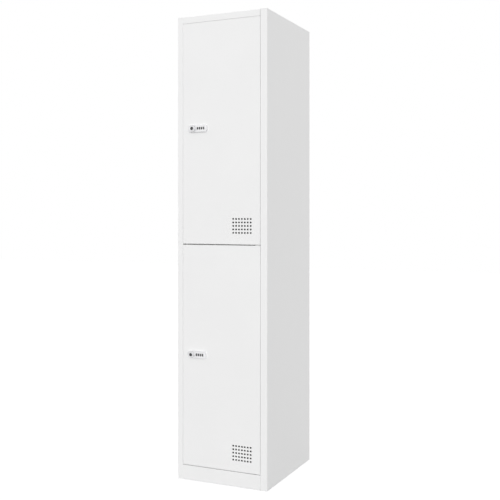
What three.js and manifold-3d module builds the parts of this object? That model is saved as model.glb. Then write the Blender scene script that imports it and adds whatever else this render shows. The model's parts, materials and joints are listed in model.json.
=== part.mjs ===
// Slim two-door steel locker, one above the other, with a combination cam lock on each door.
// Lengths are in millimetres. X runs to the right, Y from the front to the back and Z up.
// The origin is at the middle of the footprint, on the floor.
import * as THREE from 'three';
import { mergeVertices } from 'three/addons/utils/BufferGeometryUtils.js';
import Module from 'manifold-3d';

const wasm = await Module();
wasm.setup();
const WELD_TOLERANCE = 1e-5;

// Overall sizes
const WIDTH = 380;
const DEPTH = 450;
const HEIGHT = 1800;

// Sheet steel and clearances
const BODY_SHEET = 0.7;
const DOOR_SHEET = 0.8;
const BEND_RADIUS = 0.9;
const FIT = 0.3;
const OVERRUN = 1;

// Carcass
const LOCK_POST_WIDTH = 21.6;
const HINGE_POST_WIDTH = 27.5;
const REBATE = 21;
const STOP_WIDTH = 12;
const HEADER_HEIGHT = 25.5;
const HEADER_STOP_DROP = 10;
const PLINTH_HEIGHT = 56.5;
const PLINTH_RETURN = 15;
const PLINTH_STOP_RISE = 10;
const WALL_FLANGE = 15;
const FLANGE_RELIEF = 3;
const FLOOR_RISE = 18;
const TRAY_FLANGE = 15;
const DIVIDER_RAIL_HEIGHT = 40;
const DIVIDER_RAIL_RETURN = 14;

// Doors
const LOCK_GAP = 0.6;
const HINGE_GAP = 1.1;
const MIDDLE_GAP = 3.7;
const BOTTOM_GAP = 1.8;
const TOP_GAP = 0.4;
const DOOR_DEPTH = 16;
const DOOR_LIP = 12;
const STIFFENER_CROWN = 36;
const STIFFENER_FOOT = 12;
const STIFFENER_DEPTH = 12;
const STIFFENER_END_GAP = 20;

// Ventilation holes in each door
const VENT_COLUMNS = 7;
const VENT_ROWS = 5;
const VENT_PITCH_X = 12.2;
const VENT_PITCH_Z = 13.2;
const VENT_RADIUS = 3.6;
const VENT_FROM_HINGE_EDGE = 75;
const VENT_FROM_BOTTOM = 70.4;

// Pivot hinges
const HINGE_INSET = 10;
const HINGE_SETBACK = 5;
const PIN_RADIUS = 2.5;
const PIN_REACH = 8;
const PIN_HEAD_RADIUS = 3.9;
const PIN_HEAD_HEIGHT = 2;
const PIN_CHAMFER = 0.6;
const BUSH_WALL = 1;
const BUSH_LENGTH = 9;
const BUSH_COLLAR_RADIUS = 4.6;
const BUSH_COLLAR_THICKNESS = 0.45;
const HINGE_PLATE_THICKNESS = 1.5;
const HINGE_PLATE_WIDTH = 20;
const HINGE_PLATE_SETBACK = 1;
const HINGE_PLATE_LEG = 15;
const HINGE_PLATE_BEND = 0.5;

// Rubber door buffers
const BUFFER_RADIUS = 4.5;
const BUFFER_CROWN = 1;
const BUFFER_FROM_DOOR_END = 60;

// Coat rails
const RAIL_RADIUS = 9.5;
const RAIL_WALL = 1;
const RAIL_DROP = 55;
const SOCKET_CUP_DEPTH = 12;
const SOCKET_CUP_WALL = 2.5;
const SOCKET_FLANGE_RADIUS = 19;
const SOCKET_FLANGE_THICKNESS = 2.5;

// Lock: the spindle is its reference axis
const UPPER_LOCK_FROM_EDGE = 47.2;
const LOWER_LOCK_FROM_EDGE = 42.8;
const UPPER_LOCK_HEIGHT = 446.1;
const LOWER_LOCK_HEIGHT = 432.1;
const HOUSING_PROUD = 8.4;
const HOUSING_HEIGHT = 27.6;
const HOUSING_LEFT = 19.5;
const HOUSING_RIGHT = 60.5;
const HOUSING_LEFT_CORNER = 13;
const HOUSING_RIGHT_CORNER = 7;
const HOUSING_EDGE_RADIUS = 1.8;
const BOSS_HEIGHT = 21;
const BOSS_LEFT = 14;
const BOSS_END_WALL = 4.5;
const BOSS_CORNER = 3;
const COVER_THICKNESS = 5;

// Number dials of the lock
const DIAL_COUNT = 4;
const DIAL_FIRST = 21.4;
const DIAL_PITCH = 8.8;
const DIAL_RADIUS = 6.5;
const DIAL_NOTCH_DEPTH = 0.5;
const DIAL_DIGITS = 10;
const DIAL_CREST_SHARE = 0.5;
const DIAL_PEEK = 0.8;
const DIAL_HUB_RADIUS = 3.4;
const DIAL_POCKET_CLEARANCE = 0.5;
const WINDOW_WIDTH = 6;
const WINDOW_WALL = 1.2;
const AXLE_RADIUS = 1.5;
const AXLE_SEAT = 2.5;

// Knob, key plug and cam of the lock
const KNOB_PROUD = 16;
const KNOB_RADIUS = 12.8;
const KNOB_FLUTES = 16;
const KNOB_FLUTE_DEPTH = 0.6;
const KNOB_CREST_SHARE = 0.6;
const KNOB_EDGE_RADIUS = 1.2;
const KNOB_DISH_RADIUS = 9.8;
const KNOB_DISH_DEPTH = 0.8;
const KNOB_COLLAR_WALL = 1.4;
const SPINDLE_RADIUS = 7.5;
const SPINDLE_SQUARE = 9;
const PLUG_RADIUS = 6;
const PLUG_LENGTH = 6.3;
const PLUG_SETBACK = 0.4;
const KEY_SLOT_WIDTH = 1.4;
const KEY_SLOT_HEIGHT = 6.8;
const KEY_SLOT_DEPTH = 5;
const CAM_LENGTH = 40;
const CAM_WIDTH = 16;
const CAM_HUB_RADIUS = 10;
const CAM_TIP_RADIUS = 5;
const CAM_THICKNESS = 3;
const CAM_CLEARANCE = 1.2;
const CAM_SCREW_RADIUS = 2.5;
const CAM_SCREW_LENGTH = 8;
const CAM_SCREW_HEAD_RADIUS = 5.5;
const CAM_SCREW_HEAD_HEIGHT = 3;
const LOCK_SCREW_RADIUS = 1.5;
const LOCK_SCREW_X = 12.2;
const LOCK_SCREW_Z = 7;
const LOCK_SCREW_DEPTH = 6;
const LOCK_SCREW_HEAD_RADIUS = 3;
const LOCK_SCREW_HEAD_HEIGHT = 1.8;

// Facets on round work
const BEND_STEPS = 3;
const CORNER_STEPS = 5;
const VENT_SIDES = 10;
const HOLE_SIDES = 12;
const ROUND_SIDES = 20;

// Places worked out from the sizes above
const FRONT_Y = -(DEPTH - KNOB_PROUD) / 2;
const LOCK_SIDE = LOCK_POST_WIDTH - WIDTH / 2;
const HINGE_SIDE = WIDTH / 2 - HINGE_POST_WIDTH;
const STOP_BACK = REBATE + BODY_SHEET;
const WALL_INSIDE = WIDTH / 2 - BODY_SHEET;
const TRAY_HALF = WALL_INSIDE - FIT;
const TRAY_FRONT = STOP_BACK + FIT;
const BACK_PANEL_BACK = DEPTH - BODY_SHEET - FIT;
const BACK_PANEL_FRONT = BACK_PANEL_BACK - BODY_SHEET;
const TRAY_BACK = BACK_PANEL_FRONT - FIT;
const WALL_TOP = HEIGHT - BODY_SHEET - FIT;
const HEADER_BOTTOM = HEIGHT - HEADER_HEIGHT;
const DOOR_WIDTH = HINGE_SIDE - HINGE_GAP - (LOCK_SIDE + LOCK_GAP);
const DOOR_OPENING = HEADER_BOTTOM - PLINTH_HEIGHT;
const DOOR_HEIGHT = (DOOR_OPENING - BOTTOM_GAP - MIDDLE_GAP - TOP_GAP) / 2;
const LOWER_DOOR_BOTTOM = PLINTH_HEIGHT + BOTTOM_GAP;
const UPPER_DOOR_BOTTOM = LOWER_DOOR_BOTTOM + DOOR_HEIGHT + MIDDLE_GAP;
const MIDDLE_Z = UPPER_DOOR_BOTTOM - MIDDLE_GAP / 2;
const FLOOR_TOP = PLINTH_HEIGHT + FLOOR_RISE;
const DIVIDER_TOP = MIDDLE_Z + DIVIDER_RAIL_HEIGHT / 2;
const HINGE_X = HINGE_SIDE - HINGE_GAP - HINGE_INSET;
const HINGE_Y = HINGE_SETBACK;
const BUSH_RADIUS = PIN_RADIUS + FIT + BUSH_WALL;
const DIAL_Y = DIAL_RADIUS - HOUSING_PROUD - DIAL_PEEK;
const POCKET_LEFT = DIAL_FIRST - DIAL_PITCH / 2 - FIT / 2;
const POCKET_RIGHT = DIAL_FIRST + (DIAL_COUNT - 1 / 2) * DIAL_PITCH + FIT / 2;
const POCKET_HALF = DIAL_RADIUS + DIAL_POCKET_CLEARANCE;
const BOSS_END = POCKET_RIGHT + BOSS_END_WALL;
const COVER_FRONT = DOOR_SHEET + FIT;
const COVER_BACK = COVER_FRONT + COVER_THICKNESS;
const CAM_FRONT = STOP_BACK + CAM_CLEARANCE;
const CAM_BACK = CAM_FRONT + CAM_THICKNESS;
const KNOB_BACK = -(HOUSING_PROUD + FIT);

// Materials
function paint(color, roughness, metalness) {
  return new THREE.MeshStandardMaterial({ color, roughness, metalness });
}
const bodyPaint = () => paint(0xeeeeee, 0.45, 0);
const diecast = () => paint(0xd9dadb, 0.3, 0.9);
const zincSteel = () => paint(0xb9bcc0, 0.4, 0.9);
const nylon = () => paint(0xe6e4de, 0.6, 0);
const blackPlastic = () => paint(0x1d1e20, 0.5, 0);
const greyRubber = () => paint(0x8a8c8e, 0.85, 0);

// Solids: a closed geometry becomes a solid for joining and cutting, and turns back
function solid(geometry) {
  const bare = geometry.clone();
  bare.deleteAttribute('normal');
  bare.deleteAttribute('uv');
  const merged = mergeVertices(bare, WELD_TOLERANCE);
  const corners = merged.index.array;
  const kept = [];
  for (let i = 0; i < corners.length; i += 3) {
    const [a, b, c] = [corners[i], corners[i + 1], corners[i + 2]];
    if (a !== b && b !== c && c !== a) kept.push(a, b, c);
  }
  return new wasm.Manifold(new wasm.Mesh({
    numProp: 3,
    vertProperties: new Float32Array(merged.attributes.position.array),
    triVerts: new Uint32Array(kept),
  }));
}

function geometryOf(body) {
  const mesh = body.getMesh();
  const geometry = new THREE.BufferGeometry();
  geometry.setAttribute('position', new THREE.BufferAttribute(mesh.vertProperties, mesh.numProp));
  geometry.setIndex(new THREE.BufferAttribute(mesh.triVerts, 1));
  geometry.computeVertexNormals();
  return geometry;
}

function piece(name, body, material, position = [0, 0, 0]) {
  const mesh = new THREE.Mesh(geometryOf(body), material);
  mesh.name = name;
  mesh.position.set(...position);
  return mesh;
}

// Prisms along each axis, from one place to another
const X_AXIS = new THREE.Vector3(1, 0, 0);
const Y_AXIS = new THREE.Vector3(0, 1, 0);
const Z_AXIS = new THREE.Vector3(0, 0, 1);

function prism(shapes, from, to) {
  const geometry = new THREE.ExtrudeGeometry(shapes, { depth: 1, bevelEnabled: false });
  const place = geometry.attributes.position;
  for (let i = 0; i < place.count; i += 1) {
    place.setZ(i, place.getZ(i) > 1 / 2 ? to : from);
  }
  return geometry;
}

// The shape lies in X and Y
function upright(shapes, bottom, top) {
  return solid(prism(shapes, bottom, top));
}

// The shape lies in Y and Z
function across(shapes, left, right) {
  const turn = new THREE.Matrix4().makeBasis(Y_AXIS, Z_AXIS, X_AXIS);
  return solid(prism(shapes, left, right).applyMatrix4(turn));
}

// The shape lies in X and Z
function inward(shapes, front, back) {
  const turn = new THREE.Matrix4().makeBasis(X_AXIS, Z_AXIS, Y_AXIS.clone().negate());
  return solid(prism(shapes, -back, -front).applyMatrix4(turn));
}

function box(x1, x2, y1, y2, z1, z2) {
  return upright(polygon([[x1, y1], [x2, y1], [x2, y2], [x1, y2]]), z1, z2);
}

// Turned work: each profile point is a radius and a place along the axis
function turned(profile, axis, sides = ROUND_SIDES) {
  const points = profile.map(([radius, along]) => new THREE.Vector2(radius, along));
  const geometry = new THREE.LatheGeometry(points, sides);
  if (axis === Z_AXIS) geometry.rotateX(Math.PI / 2);
  if (axis === X_AXIS) geometry.rotateZ(-Math.PI / 2);
  return outward(solid(geometry), geometry);
}

// A profile drawn the other way round gives faces that point in, so they are turned over
function outward(body, geometry) {
  if (body.volume() > 0) return body;
  const flipped = geometry.clone();
  const corners = flipped.index.array;
  for (let i = 0; i < corners.length; i += 3) {
    [corners[i], corners[i + 1]] = [corners[i + 1], corners[i]];
  }
  return solid(flipped);
}

function rod(radius, from, to, axis, sides) {
  return turned([[0, from], [radius, from], [radius, to], [0, to]], axis, sides);
}

function polygon(points) {
  return new THREE.Shape(points.map(([x, y]) => new THREE.Vector2(x, y)));
}

function polar(radius, angle) {
  return [radius * Math.cos(angle), radius * Math.sin(angle)];
}

function arc(x, y, radius, start, end, steps) {
  const points = [];
  for (let step = 0; step <= steps; step += 1) {
    const [dx, dy] = polar(radius, start + ((end - start) * step) / steps);
    points.push([x + dx, y + dy]);
  }
  return points;
}

// An outline round a centre with the same shallow notch between all its crests
function notchedCircle(count, radius, notchDepth, crestShare) {
  const outline = [];
  const pitch = (2 * Math.PI) / count;
  for (let crest = 0; crest < count; crest += 1) {
    const middle = pitch * crest;
    outline.push(polar(radius, middle - (pitch * crestShare) / 2));
    outline.push(polar(radius, middle + (pitch * crestShare) / 2));
    outline.push(polar(radius - notchDepth, middle + pitch / 2));
  }
  return polygon(outline);
}

function circle(x, y, radius, sides) {
  return polygon(arc(x, y, radius, 0, 2 * Math.PI, sides).slice(1));
}

// Points along a path with a round bend at the corner b, each with its normal
function bend(a, b, c, radius, steps = BEND_STEPS) {
  const before = b.clone().sub(a).normalize();
  const after = c.clone().sub(b).normalize();
  const turn = Math.atan2(before.cross(after), before.dot(after));
  const side = Math.sign(turn);
  const normal = new THREE.Vector2(-before.y, before.x);
  const start = b.clone().addScaledVector(before, -radius * Math.tan(Math.abs(turn) / 2));
  const centre = start.addScaledVector(normal, side * radius);
  const samples = [];
  for (let step = 0; step <= steps; step += 1) {
    const spoke = normal.clone().rotateAround(new THREE.Vector2(), (turn * step) / steps);
    samples.push([centre.clone().addScaledVector(spoke, -side * radius), spoke]);
  }
  return samples;
}

// Bent sheet: the outline of a strip whose middle line follows the path, with round bends
function bentSheet(path, thickness, insideRadius) {
  const points = path.map(([x, y]) => new THREE.Vector2(x, y));
  const last = points.length - 1;
  const normalFrom = (a, b) => new THREE.Vector2(a.y - b.y, b.x - a.x).normalize();
  const samples = [[points[0], normalFrom(points[0], points[1])]];
  for (let i = 1; i < last; i += 1) {
    samples.push(...bend(points[i - 1], points[i], points[i + 1], insideRadius + thickness / 2));
  }
  samples.push([points[last], normalFrom(points[last - 1], points[last])]);
  const left = samples.map(([point, normal]) => point.clone().addScaledVector(normal, thickness / 2));
  const right = samples.map(([point, normal]) => point.clone().addScaledVector(normal, -thickness / 2));
  return new THREE.Shape([...left, ...right.reverse()]);
}

// A closed outline whose corners with a radius, the third number, are round
function roundedOutline(corners, steps) {
  const points = corners.map(([x, y]) => new THREE.Vector2(x, y));
  const outline = [];
  corners.forEach(([, , radius], i) => {
    const before = points[(i + points.length - 1) % points.length];
    const after = points[(i + 1) % points.length];
    if (radius) outline.push(...bend(before, points[i], after, radius, steps).map(([point]) => point));
    else outline.push(points[i]);
  });
  return new THREE.Shape(outline);
}

// A block whose four front edges are round
function pressedBlock(x1, x2, front, back, z1, z2, radius) {
  const plan = roundedOutline([[x1, front, radius], [x2, front, radius], [x2, back], [x1, back]]);
  const side = roundedOutline([[front, z1, radius], [back, z1], [back, z2], [front, z2, radius]]);
  return upright(plan, z1, z2).intersect(across(side, x1, x2));
}

// Carcass
const HALF_SHEET = BODY_SHEET / 2;

function sidePanel(name, side, postWidth, stopEnd) {
  const outer = (side * WIDTH) / 2;
  const path = [
    [WALL_FLANGE, DEPTH - HALF_SHEET],
    [HALF_SHEET, DEPTH - HALF_SHEET],
    [HALF_SHEET, HALF_SHEET],
    [postWidth - HALF_SHEET, HALF_SHEET],
    [postWidth - HALF_SHEET, REBATE + HALF_SHEET],
    [stopEnd, REBATE + HALF_SHEET],
  ].map(([inset, y]) => [outer - side * inset, y]);
  let panel = upright(bentSheet(path, BODY_SHEET, BEND_RADIUS), 0, WALL_TOP);
  const [x1, x2] = [outer - side * HALF_SHEET, outer - side * WALL_FLANGE].sort((a, b) => a - b);
  const front = STOP_BACK + FLANGE_RELIEF;
  const back = DEPTH - BODY_SHEET - FLANGE_RELIEF;
  for (const bottom of [0, WALL_TOP - BODY_SHEET]) {
    panel = panel.add(box(x1, x2, front, back, bottom, bottom + BODY_SHEET));
  }
  return piece(name, panel, bodyPaint());
}

function backPanel() {
  const bottom = BODY_SHEET + FIT;
  const top = WALL_TOP - BODY_SHEET - FIT;
  const panel = box(-TRAY_HALF, TRAY_HALF, BACK_PANEL_FRONT, BACK_PANEL_BACK, bottom, top);
  return piece('back_panel', panel, bodyPaint());
}

// The door stop of the left post runs past the header and the plinth, which are notched for it
function stopNotch(bottom, top) {
  const left = LOCK_SIDE - OVERRUN;
  const right = LOCK_SIDE + STOP_WIDTH + FIT;
  return box(left, right, REBATE - FIT, STOP_BACK + OVERRUN, bottom, top);
}

function pinHole(bottom, top) {
  return rod(PIN_RADIUS + FIT, bottom, top, Z_AXIS, HOLE_SIDES).translate([HINGE_X, HINGE_Y, 0]);
}

function topPanel() {
  const headerLeft = LOCK_SIDE + FIT;
  const headerRight = HINGE_SIDE - FIT;
  const stopEnd = HEADER_BOTTOM - HEADER_STOP_DROP;
  const path = [
    [DEPTH - HALF_SHEET, HEIGHT - WALL_FLANGE],
    [DEPTH - HALF_SHEET, HEIGHT - HALF_SHEET],
    [HALF_SHEET, HEIGHT - HALF_SHEET],
    [HALF_SHEET, HEADER_BOTTOM + HALF_SHEET],
    [REBATE + HALF_SHEET, HEADER_BOTTOM + HALF_SHEET],
    [REBATE + HALF_SHEET, stopEnd],
  ];
  const wing = roundedOutline([
    [0, HEIGHT, BEND_RADIUS / 2],
    [0, HEIGHT - BODY_SHEET],
    [DEPTH, HEIGHT - BODY_SHEET],
    [DEPTH, HEIGHT, BEND_RADIUS / 2],
  ]);
  let panel = across(bentSheet(path, BODY_SHEET, BEND_RADIUS), headerLeft, headerRight);
  for (const [left, right] of [[-WIDTH / 2, headerLeft], [headerRight, WIDTH / 2]]) {
    panel = panel.add(across(wing, left, right));
  }
  panel = panel.subtract(stopNotch(stopEnd - OVERRUN, HEADER_BOTTOM + BODY_SHEET + FIT));
  panel = panel.subtract(pinHole(HEADER_BOTTOM - OVERRUN, HEADER_BOTTOM + BODY_SHEET + OVERRUN));
  return piece('top_panel', panel, bodyPaint());
}

function kickPlate() {
  const stopEnd = PLINTH_HEIGHT + PLINTH_STOP_RISE;
  const path = [
    [PLINTH_RETURN, HALF_SHEET],
    [HALF_SHEET, HALF_SHEET],
    [HALF_SHEET, PLINTH_HEIGHT - HALF_SHEET],
    [REBATE + HALF_SHEET, PLINTH_HEIGHT - HALF_SHEET],
    [REBATE + HALF_SHEET, stopEnd],
  ];
  let plate = across(bentSheet(path, BODY_SHEET, BEND_RADIUS), LOCK_SIDE + FIT, HINGE_SIDE - FIT);
  plate = plate.subtract(stopNotch(PLINTH_HEIGHT - BODY_SHEET - FIT, stopEnd + OVERRUN));
  plate = plate.subtract(pinHole(PLINTH_HEIGHT - BODY_SHEET - OVERRUN, PLINTH_HEIGHT + OVERRUN));
  return piece('kick_plate', plate, bodyPaint());
}

// Trays: the compartment floor and the divider lie between the walls, with flanges turned down.
// Each is a block less a smaller one, both drawn in Y and Z.
function tray(outer, inner) {
  const inside = TRAY_HALF - BODY_SHEET;
  return across(outer, -TRAY_HALF, TRAY_HALF).subtract(across(inner, -inside, inside));
}

function bottomPanel() {
  const outside = BEND_RADIUS + BODY_SHEET;
  const outer = roundedOutline([
    [TRAY_FRONT, FLOOR_TOP - TRAY_FLANGE],
    [TRAY_BACK, FLOOR_TOP - TRAY_FLANGE],
    [TRAY_BACK, FLOOR_TOP, outside],
    [TRAY_FRONT, FLOOR_TOP, outside],
  ]);
  const inner = roundedOutline([
    [TRAY_FRONT + BODY_SHEET, FLOOR_TOP - TRAY_FLANGE - OVERRUN],
    [TRAY_BACK - BODY_SHEET, FLOOR_TOP - TRAY_FLANGE - OVERRUN],
    [TRAY_BACK - BODY_SHEET, FLOOR_TOP - BODY_SHEET, BEND_RADIUS],
    [TRAY_FRONT + BODY_SHEET, FLOOR_TOP - BODY_SHEET, BEND_RADIUS],
  ]);
  return piece('bottom_panel', tray(outer, inner), bodyPaint());
}

// The divider's front is a channel, the rail behind the gap between the doors
function dividerShelf() {
  const outside = BEND_RADIUS + BODY_SHEET;
  const railBottom = DIVIDER_TOP - DIVIDER_RAIL_HEIGHT;
  const railBack = TRAY_FRONT + DIVIDER_RAIL_RETURN;
  const flangeBottom = DIVIDER_TOP - TRAY_FLANGE;
  const outer = roundedOutline([
    [TRAY_FRONT, railBottom, outside],
    [railBack, railBottom],
    [railBack, flangeBottom],
    [TRAY_BACK, flangeBottom],
    [TRAY_BACK, DIVIDER_TOP, outside],
    [TRAY_FRONT, DIVIDER_TOP, outside],
  ]);
  const inner = roundedOutline([
    [TRAY_FRONT + BODY_SHEET, railBottom + BODY_SHEET, BEND_RADIUS],
    [railBack + OVERRUN, railBottom + BODY_SHEET],
    [railBack + OVERRUN, flangeBottom - OVERRUN],
    [TRAY_BACK - BODY_SHEET, flangeBottom - OVERRUN],
    [TRAY_BACK - BODY_SHEET, DIVIDER_TOP - BODY_SHEET, BEND_RADIUS],
    [TRAY_FRONT + BODY_SHEET, DIVIDER_TOP - BODY_SHEET, BEND_RADIUS],
  ]);
  const slotX = HINGE_PLATE_WIDTH / 2 + FIT;
  const slotZ = HINGE_PLATE_THICKNESS / 2 + FIT;
  const slot = box(
    HINGE_X - slotX, HINGE_X + slotX,
    TRAY_FRONT - OVERRUN, TRAY_FRONT + BODY_SHEET + OVERRUN,
    MIDDLE_Z - slotZ, MIDDLE_Z + slotZ,
  );
  return piece('divider_shelf', tray(outer, inner).subtract(slot), bodyPaint());
}

// Hinge pins and the plate between the doors
function topHingePin() {
  const end = HEADER_BOTTOM - TOP_GAP - PIN_REACH;
  const headSeat = HEADER_BOTTOM + BODY_SHEET + FIT;
  const profile = [
    [0, end],
    [PIN_RADIUS - PIN_CHAMFER, end],
    [PIN_RADIUS, end + PIN_CHAMFER],
    [PIN_RADIUS, headSeat],
    [PIN_HEAD_RADIUS, headSeat],
    [PIN_HEAD_RADIUS, headSeat + PIN_HEAD_HEIGHT],
    [0, headSeat + PIN_HEAD_HEIGHT],
  ];
  return piece('top_hinge_pin', turned(profile, Z_AXIS, HOLE_SIDES), zincSteel(), [HINGE_X, HINGE_Y, 0]);
}

function bottomHingePin() {
  const headSeat = PLINTH_HEIGHT - BODY_SHEET - FIT;
  const shoulderTop = LOWER_DOOR_BOTTOM - BUSH_COLLAR_THICKNESS - FIT;
  const end = LOWER_DOOR_BOTTOM + PIN_REACH;
  const profile = [
    [0, headSeat - PIN_HEAD_HEIGHT],
    [PIN_HEAD_RADIUS, headSeat - PIN_HEAD_HEIGHT],
    [PIN_HEAD_RADIUS, headSeat],
    [PIN_RADIUS, headSeat],
    [PIN_RADIUS, PLINTH_HEIGHT + FIT],
    [PIN_HEAD_RADIUS, PLINTH_HEIGHT + FIT],
    [PIN_HEAD_RADIUS, shoulderTop],
    [PIN_RADIUS, shoulderTop],
    [PIN_RADIUS, end - PIN_CHAMFER],
    [PIN_RADIUS - PIN_CHAMFER, end],
    [0, end],
  ];
  return piece('bottom_hinge_pin', turned(profile, Z_AXIS, HOLE_SIDES), zincSteel(), [HINGE_X, HINGE_Y, 0]);
}

function middleHingePin() {
  const half = MIDDLE_GAP / 2 + PIN_REACH;
  const profile = [
    [0, -half],
    [PIN_RADIUS - PIN_CHAMFER, -half],
    [PIN_RADIUS, -half + PIN_CHAMFER],
    [PIN_RADIUS, half - PIN_CHAMFER],
    [PIN_RADIUS - PIN_CHAMFER, half],
    [0, half],
  ];
  const place = [HINGE_X, HINGE_Y, MIDDLE_Z];
  return piece('middle_hinge_pin', turned(profile, Z_AXIS, HOLE_SIDES), zincSteel(), place);
}

function middleHingePlate() {
  const legY = TRAY_FRONT + BODY_SHEET + FIT + HINGE_PLATE_THICKNESS / 2;
  const path = [
    [HINGE_PLATE_SETBACK, MIDDLE_Z],
    [legY, MIDDLE_Z],
    [legY, MIDDLE_Z - HINGE_PLATE_LEG],
  ];
  const half = HINGE_PLATE_WIDTH / 2;
  const strip = bentSheet(path, HINGE_PLATE_THICKNESS, HINGE_PLATE_BEND);
  const plate = across(strip, HINGE_X - half, HINGE_X + half);
  const hole = pinHole(MIDDLE_Z - HINGE_PLATE_THICKNESS, MIDDLE_Z + HINGE_PLATE_THICKNESS);
  return piece('middle_hinge_plate', plate.subtract(hole), bodyPaint());
}

// Rubber buffers on the door stop of the lock side
function doorBuffer(name, z) {
  const front = DOOR_DEPTH + FIT;
  const back = REBATE - FIT;
  const profile = [
    [0, front],
    [BUFFER_RADIUS - BUFFER_CROWN, front],
    [BUFFER_RADIUS, front + BUFFER_CROWN],
    [BUFFER_RADIUS, back],
    [0, back],
  ];
  const x = LOCK_SIDE + STOP_WIDTH / 2;
  return piece(name, turned(profile, Y_AXIS, HOLE_SIDES), greyRubber(), [x, 0, z]);
}

// Coat rail and its two wall sockets, under the ceiling of a compartment
function coatRail(level, ceiling) {
  const z = ceiling - RAIL_DROP;
  const y = (TRAY_FRONT + TRAY_BACK) / 2;
  const group = new THREE.Group();
  group.position.set(0, y, z);
  const flangeInside = WALL_INSIDE - FIT - SOCKET_FLANGE_THICKNESS;
  const railHalf = flangeInside - FIT;
  const tube = rod(RAIL_RADIUS, -railHalf, railHalf, X_AXIS)
    .subtract(rod(RAIL_RADIUS - RAIL_WALL, -railHalf - OVERRUN, railHalf + OVERRUN, X_AXIS));
  group.add(piece(`${level}_coat_rail`, tube, zincSteel()));
  for (const [hand, side] of [['left', -1], ['right', 1]]) {
    const bore = RAIL_RADIUS + FIT;
    const cupRadius = bore + SOCKET_CUP_WALL;
    const profile = [
      [0, flangeInside],
      [bore, flangeInside],
      [bore, flangeInside - SOCKET_CUP_DEPTH],
      [cupRadius, flangeInside - SOCKET_CUP_DEPTH],
      [cupRadius, flangeInside],
      [SOCKET_FLANGE_RADIUS, flangeInside],
      [SOCKET_FLANGE_RADIUS, WALL_INSIDE - FIT],
      [0, WALL_INSIDE - FIT],
    ].map(([radius, x]) => [radius, side * x]);
    group.add(piece(`${level}_${hand}_rail_socket`, turned(profile, X_AXIS), nylon()));
  }
  return group;
}

// Doors: the frame of a door has its origin on the hinge axis, at the door's bottom edge
const DOOR_LEFT = HINGE_INSET - DOOR_WIDTH;
const DOOR_RIGHT = HINGE_INSET;
const DOOR_FRONT = -HINGE_SETBACK;

function ventHoles() {
  const holes = [];
  for (let column = 0; column < VENT_COLUMNS; column += 1) {
    for (let row = 0; row < VENT_ROWS; row += 1) {
      const x = DOOR_RIGHT - VENT_FROM_HINGE_EDGE + (column - (VENT_COLUMNS - 1) / 2) * VENT_PITCH_X;
      const z = VENT_FROM_BOTTOM + (row - (VENT_ROWS - 1) / 2) * VENT_PITCH_Z;
      holes.push(circle(x, z, VENT_RADIUS, VENT_SIDES));
    }
  }
  return inward(holes, DOOR_FRONT - OVERRUN, DOOR_FRONT + DOOR_SHEET + OVERRUN);
}

function doorPanel(level, lockX, lockZ) {
  const back = DOOR_FRONT + DOOR_DEPTH;
  const skin = DOOR_SHEET;
  const rim = DOOR_SHEET + DOOR_LIP;
  const outerRadius = BEND_RADIUS + DOOR_SHEET;
  const block = pressedBlock(DOOR_LEFT, DOOR_RIGHT, DOOR_FRONT, back, 0, DOOR_HEIGHT, outerRadius);
  const pocket = pressedBlock(
    DOOR_LEFT + skin, DOOR_RIGHT - skin,
    DOOR_FRONT + skin, back - skin,
    skin, DOOR_HEIGHT - skin, BEND_RADIUS,
  );
  const mouth = box(
    DOOR_LEFT + rim, DOOR_RIGHT - rim,
    back - skin - OVERRUN, back + OVERRUN,
    rim, DOOR_HEIGHT - rim,
  );
  const bushHole = rod(BUSH_RADIUS + FIT, -OVERRUN, skin + OVERRUN, Z_AXIS, HOLE_SIDES);
  const cutOut = inward(bossOutline(FIT), -OVERRUN, skin + OVERRUN).translate([lockX, DOOR_FRONT, lockZ]);
  const panel = block
    .subtract(pocket)
    .subtract(mouth)
    .subtract(ventHoles())
    .subtract(bushHole)
    .subtract(bushHole.translate([0, 0, DOOR_HEIGHT - skin]))
    .subtract(cutOut);
  return piece(`${level}_door_panel`, panel, bodyPaint());
}

function doorStiffener(level) {
  const middle = (DOOR_LEFT + DOOR_RIGHT) / 2;
  const foot = DOOR_FRONT + DOOR_SHEET + FIT + DOOR_SHEET / 2;
  const crown = foot + STIFFENER_DEPTH;
  const halfCrown = STIFFENER_CROWN / 2;
  const path = [
    [middle - halfCrown - STIFFENER_FOOT, foot],
    [middle - halfCrown, foot],
    [middle - halfCrown, crown],
    [middle + halfCrown, crown],
    [middle + halfCrown, foot],
    [middle + halfCrown + STIFFENER_FOOT, foot],
  ];
  const strip = bentSheet(path, DOOR_SHEET, BEND_RADIUS);
  const channel = upright(strip, STIFFENER_END_GAP, DOOR_HEIGHT - STIFFENER_END_GAP);
  return piece(`${level}_door_stiffener`, channel, bodyPaint());
}

// A bush stands in the fold of the door with its thrust collar outside; a plain one ends flush
function hingeBush(name, z, direction, collar) {
  const bore = PIN_RADIUS + FIT;
  const outerEnd = collar ? [
    [bore, -BUSH_COLLAR_THICKNESS],
    [BUSH_COLLAR_RADIUS, -BUSH_COLLAR_THICKNESS],
    [BUSH_COLLAR_RADIUS, 0],
  ] : [[bore, 0]];
  const profile = [
    ...outerEnd,
    [BUSH_RADIUS, 0],
    [BUSH_RADIUS, BUSH_LENGTH],
    [bore, BUSH_LENGTH],
    outerEnd[0],
  ].map(([radius, along]) => [radius, direction * along]);
  return piece(name, turned(profile, Z_AXIS, HOLE_SIDES), nylon(), [0, 0, z]);
}

// Lock outline: a plate that reaches to the left and right of the spindle, with round corners
function lockOutline(left, right, height, leftCorner, rightCorner) {
  const half = height / 2;
  return roundedOutline([
    [-left, -half, leftCorner],
    [right, -half, rightCorner],
    [right, half, rightCorner],
    [-left, half, leftCorner],
  ], CORNER_STEPS);
}

function housingOutline() {
  return lockOutline(HOUSING_LEFT, HOUSING_RIGHT, HOUSING_HEIGHT, HOUSING_LEFT_CORNER, HOUSING_RIGHT_CORNER);
}

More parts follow.
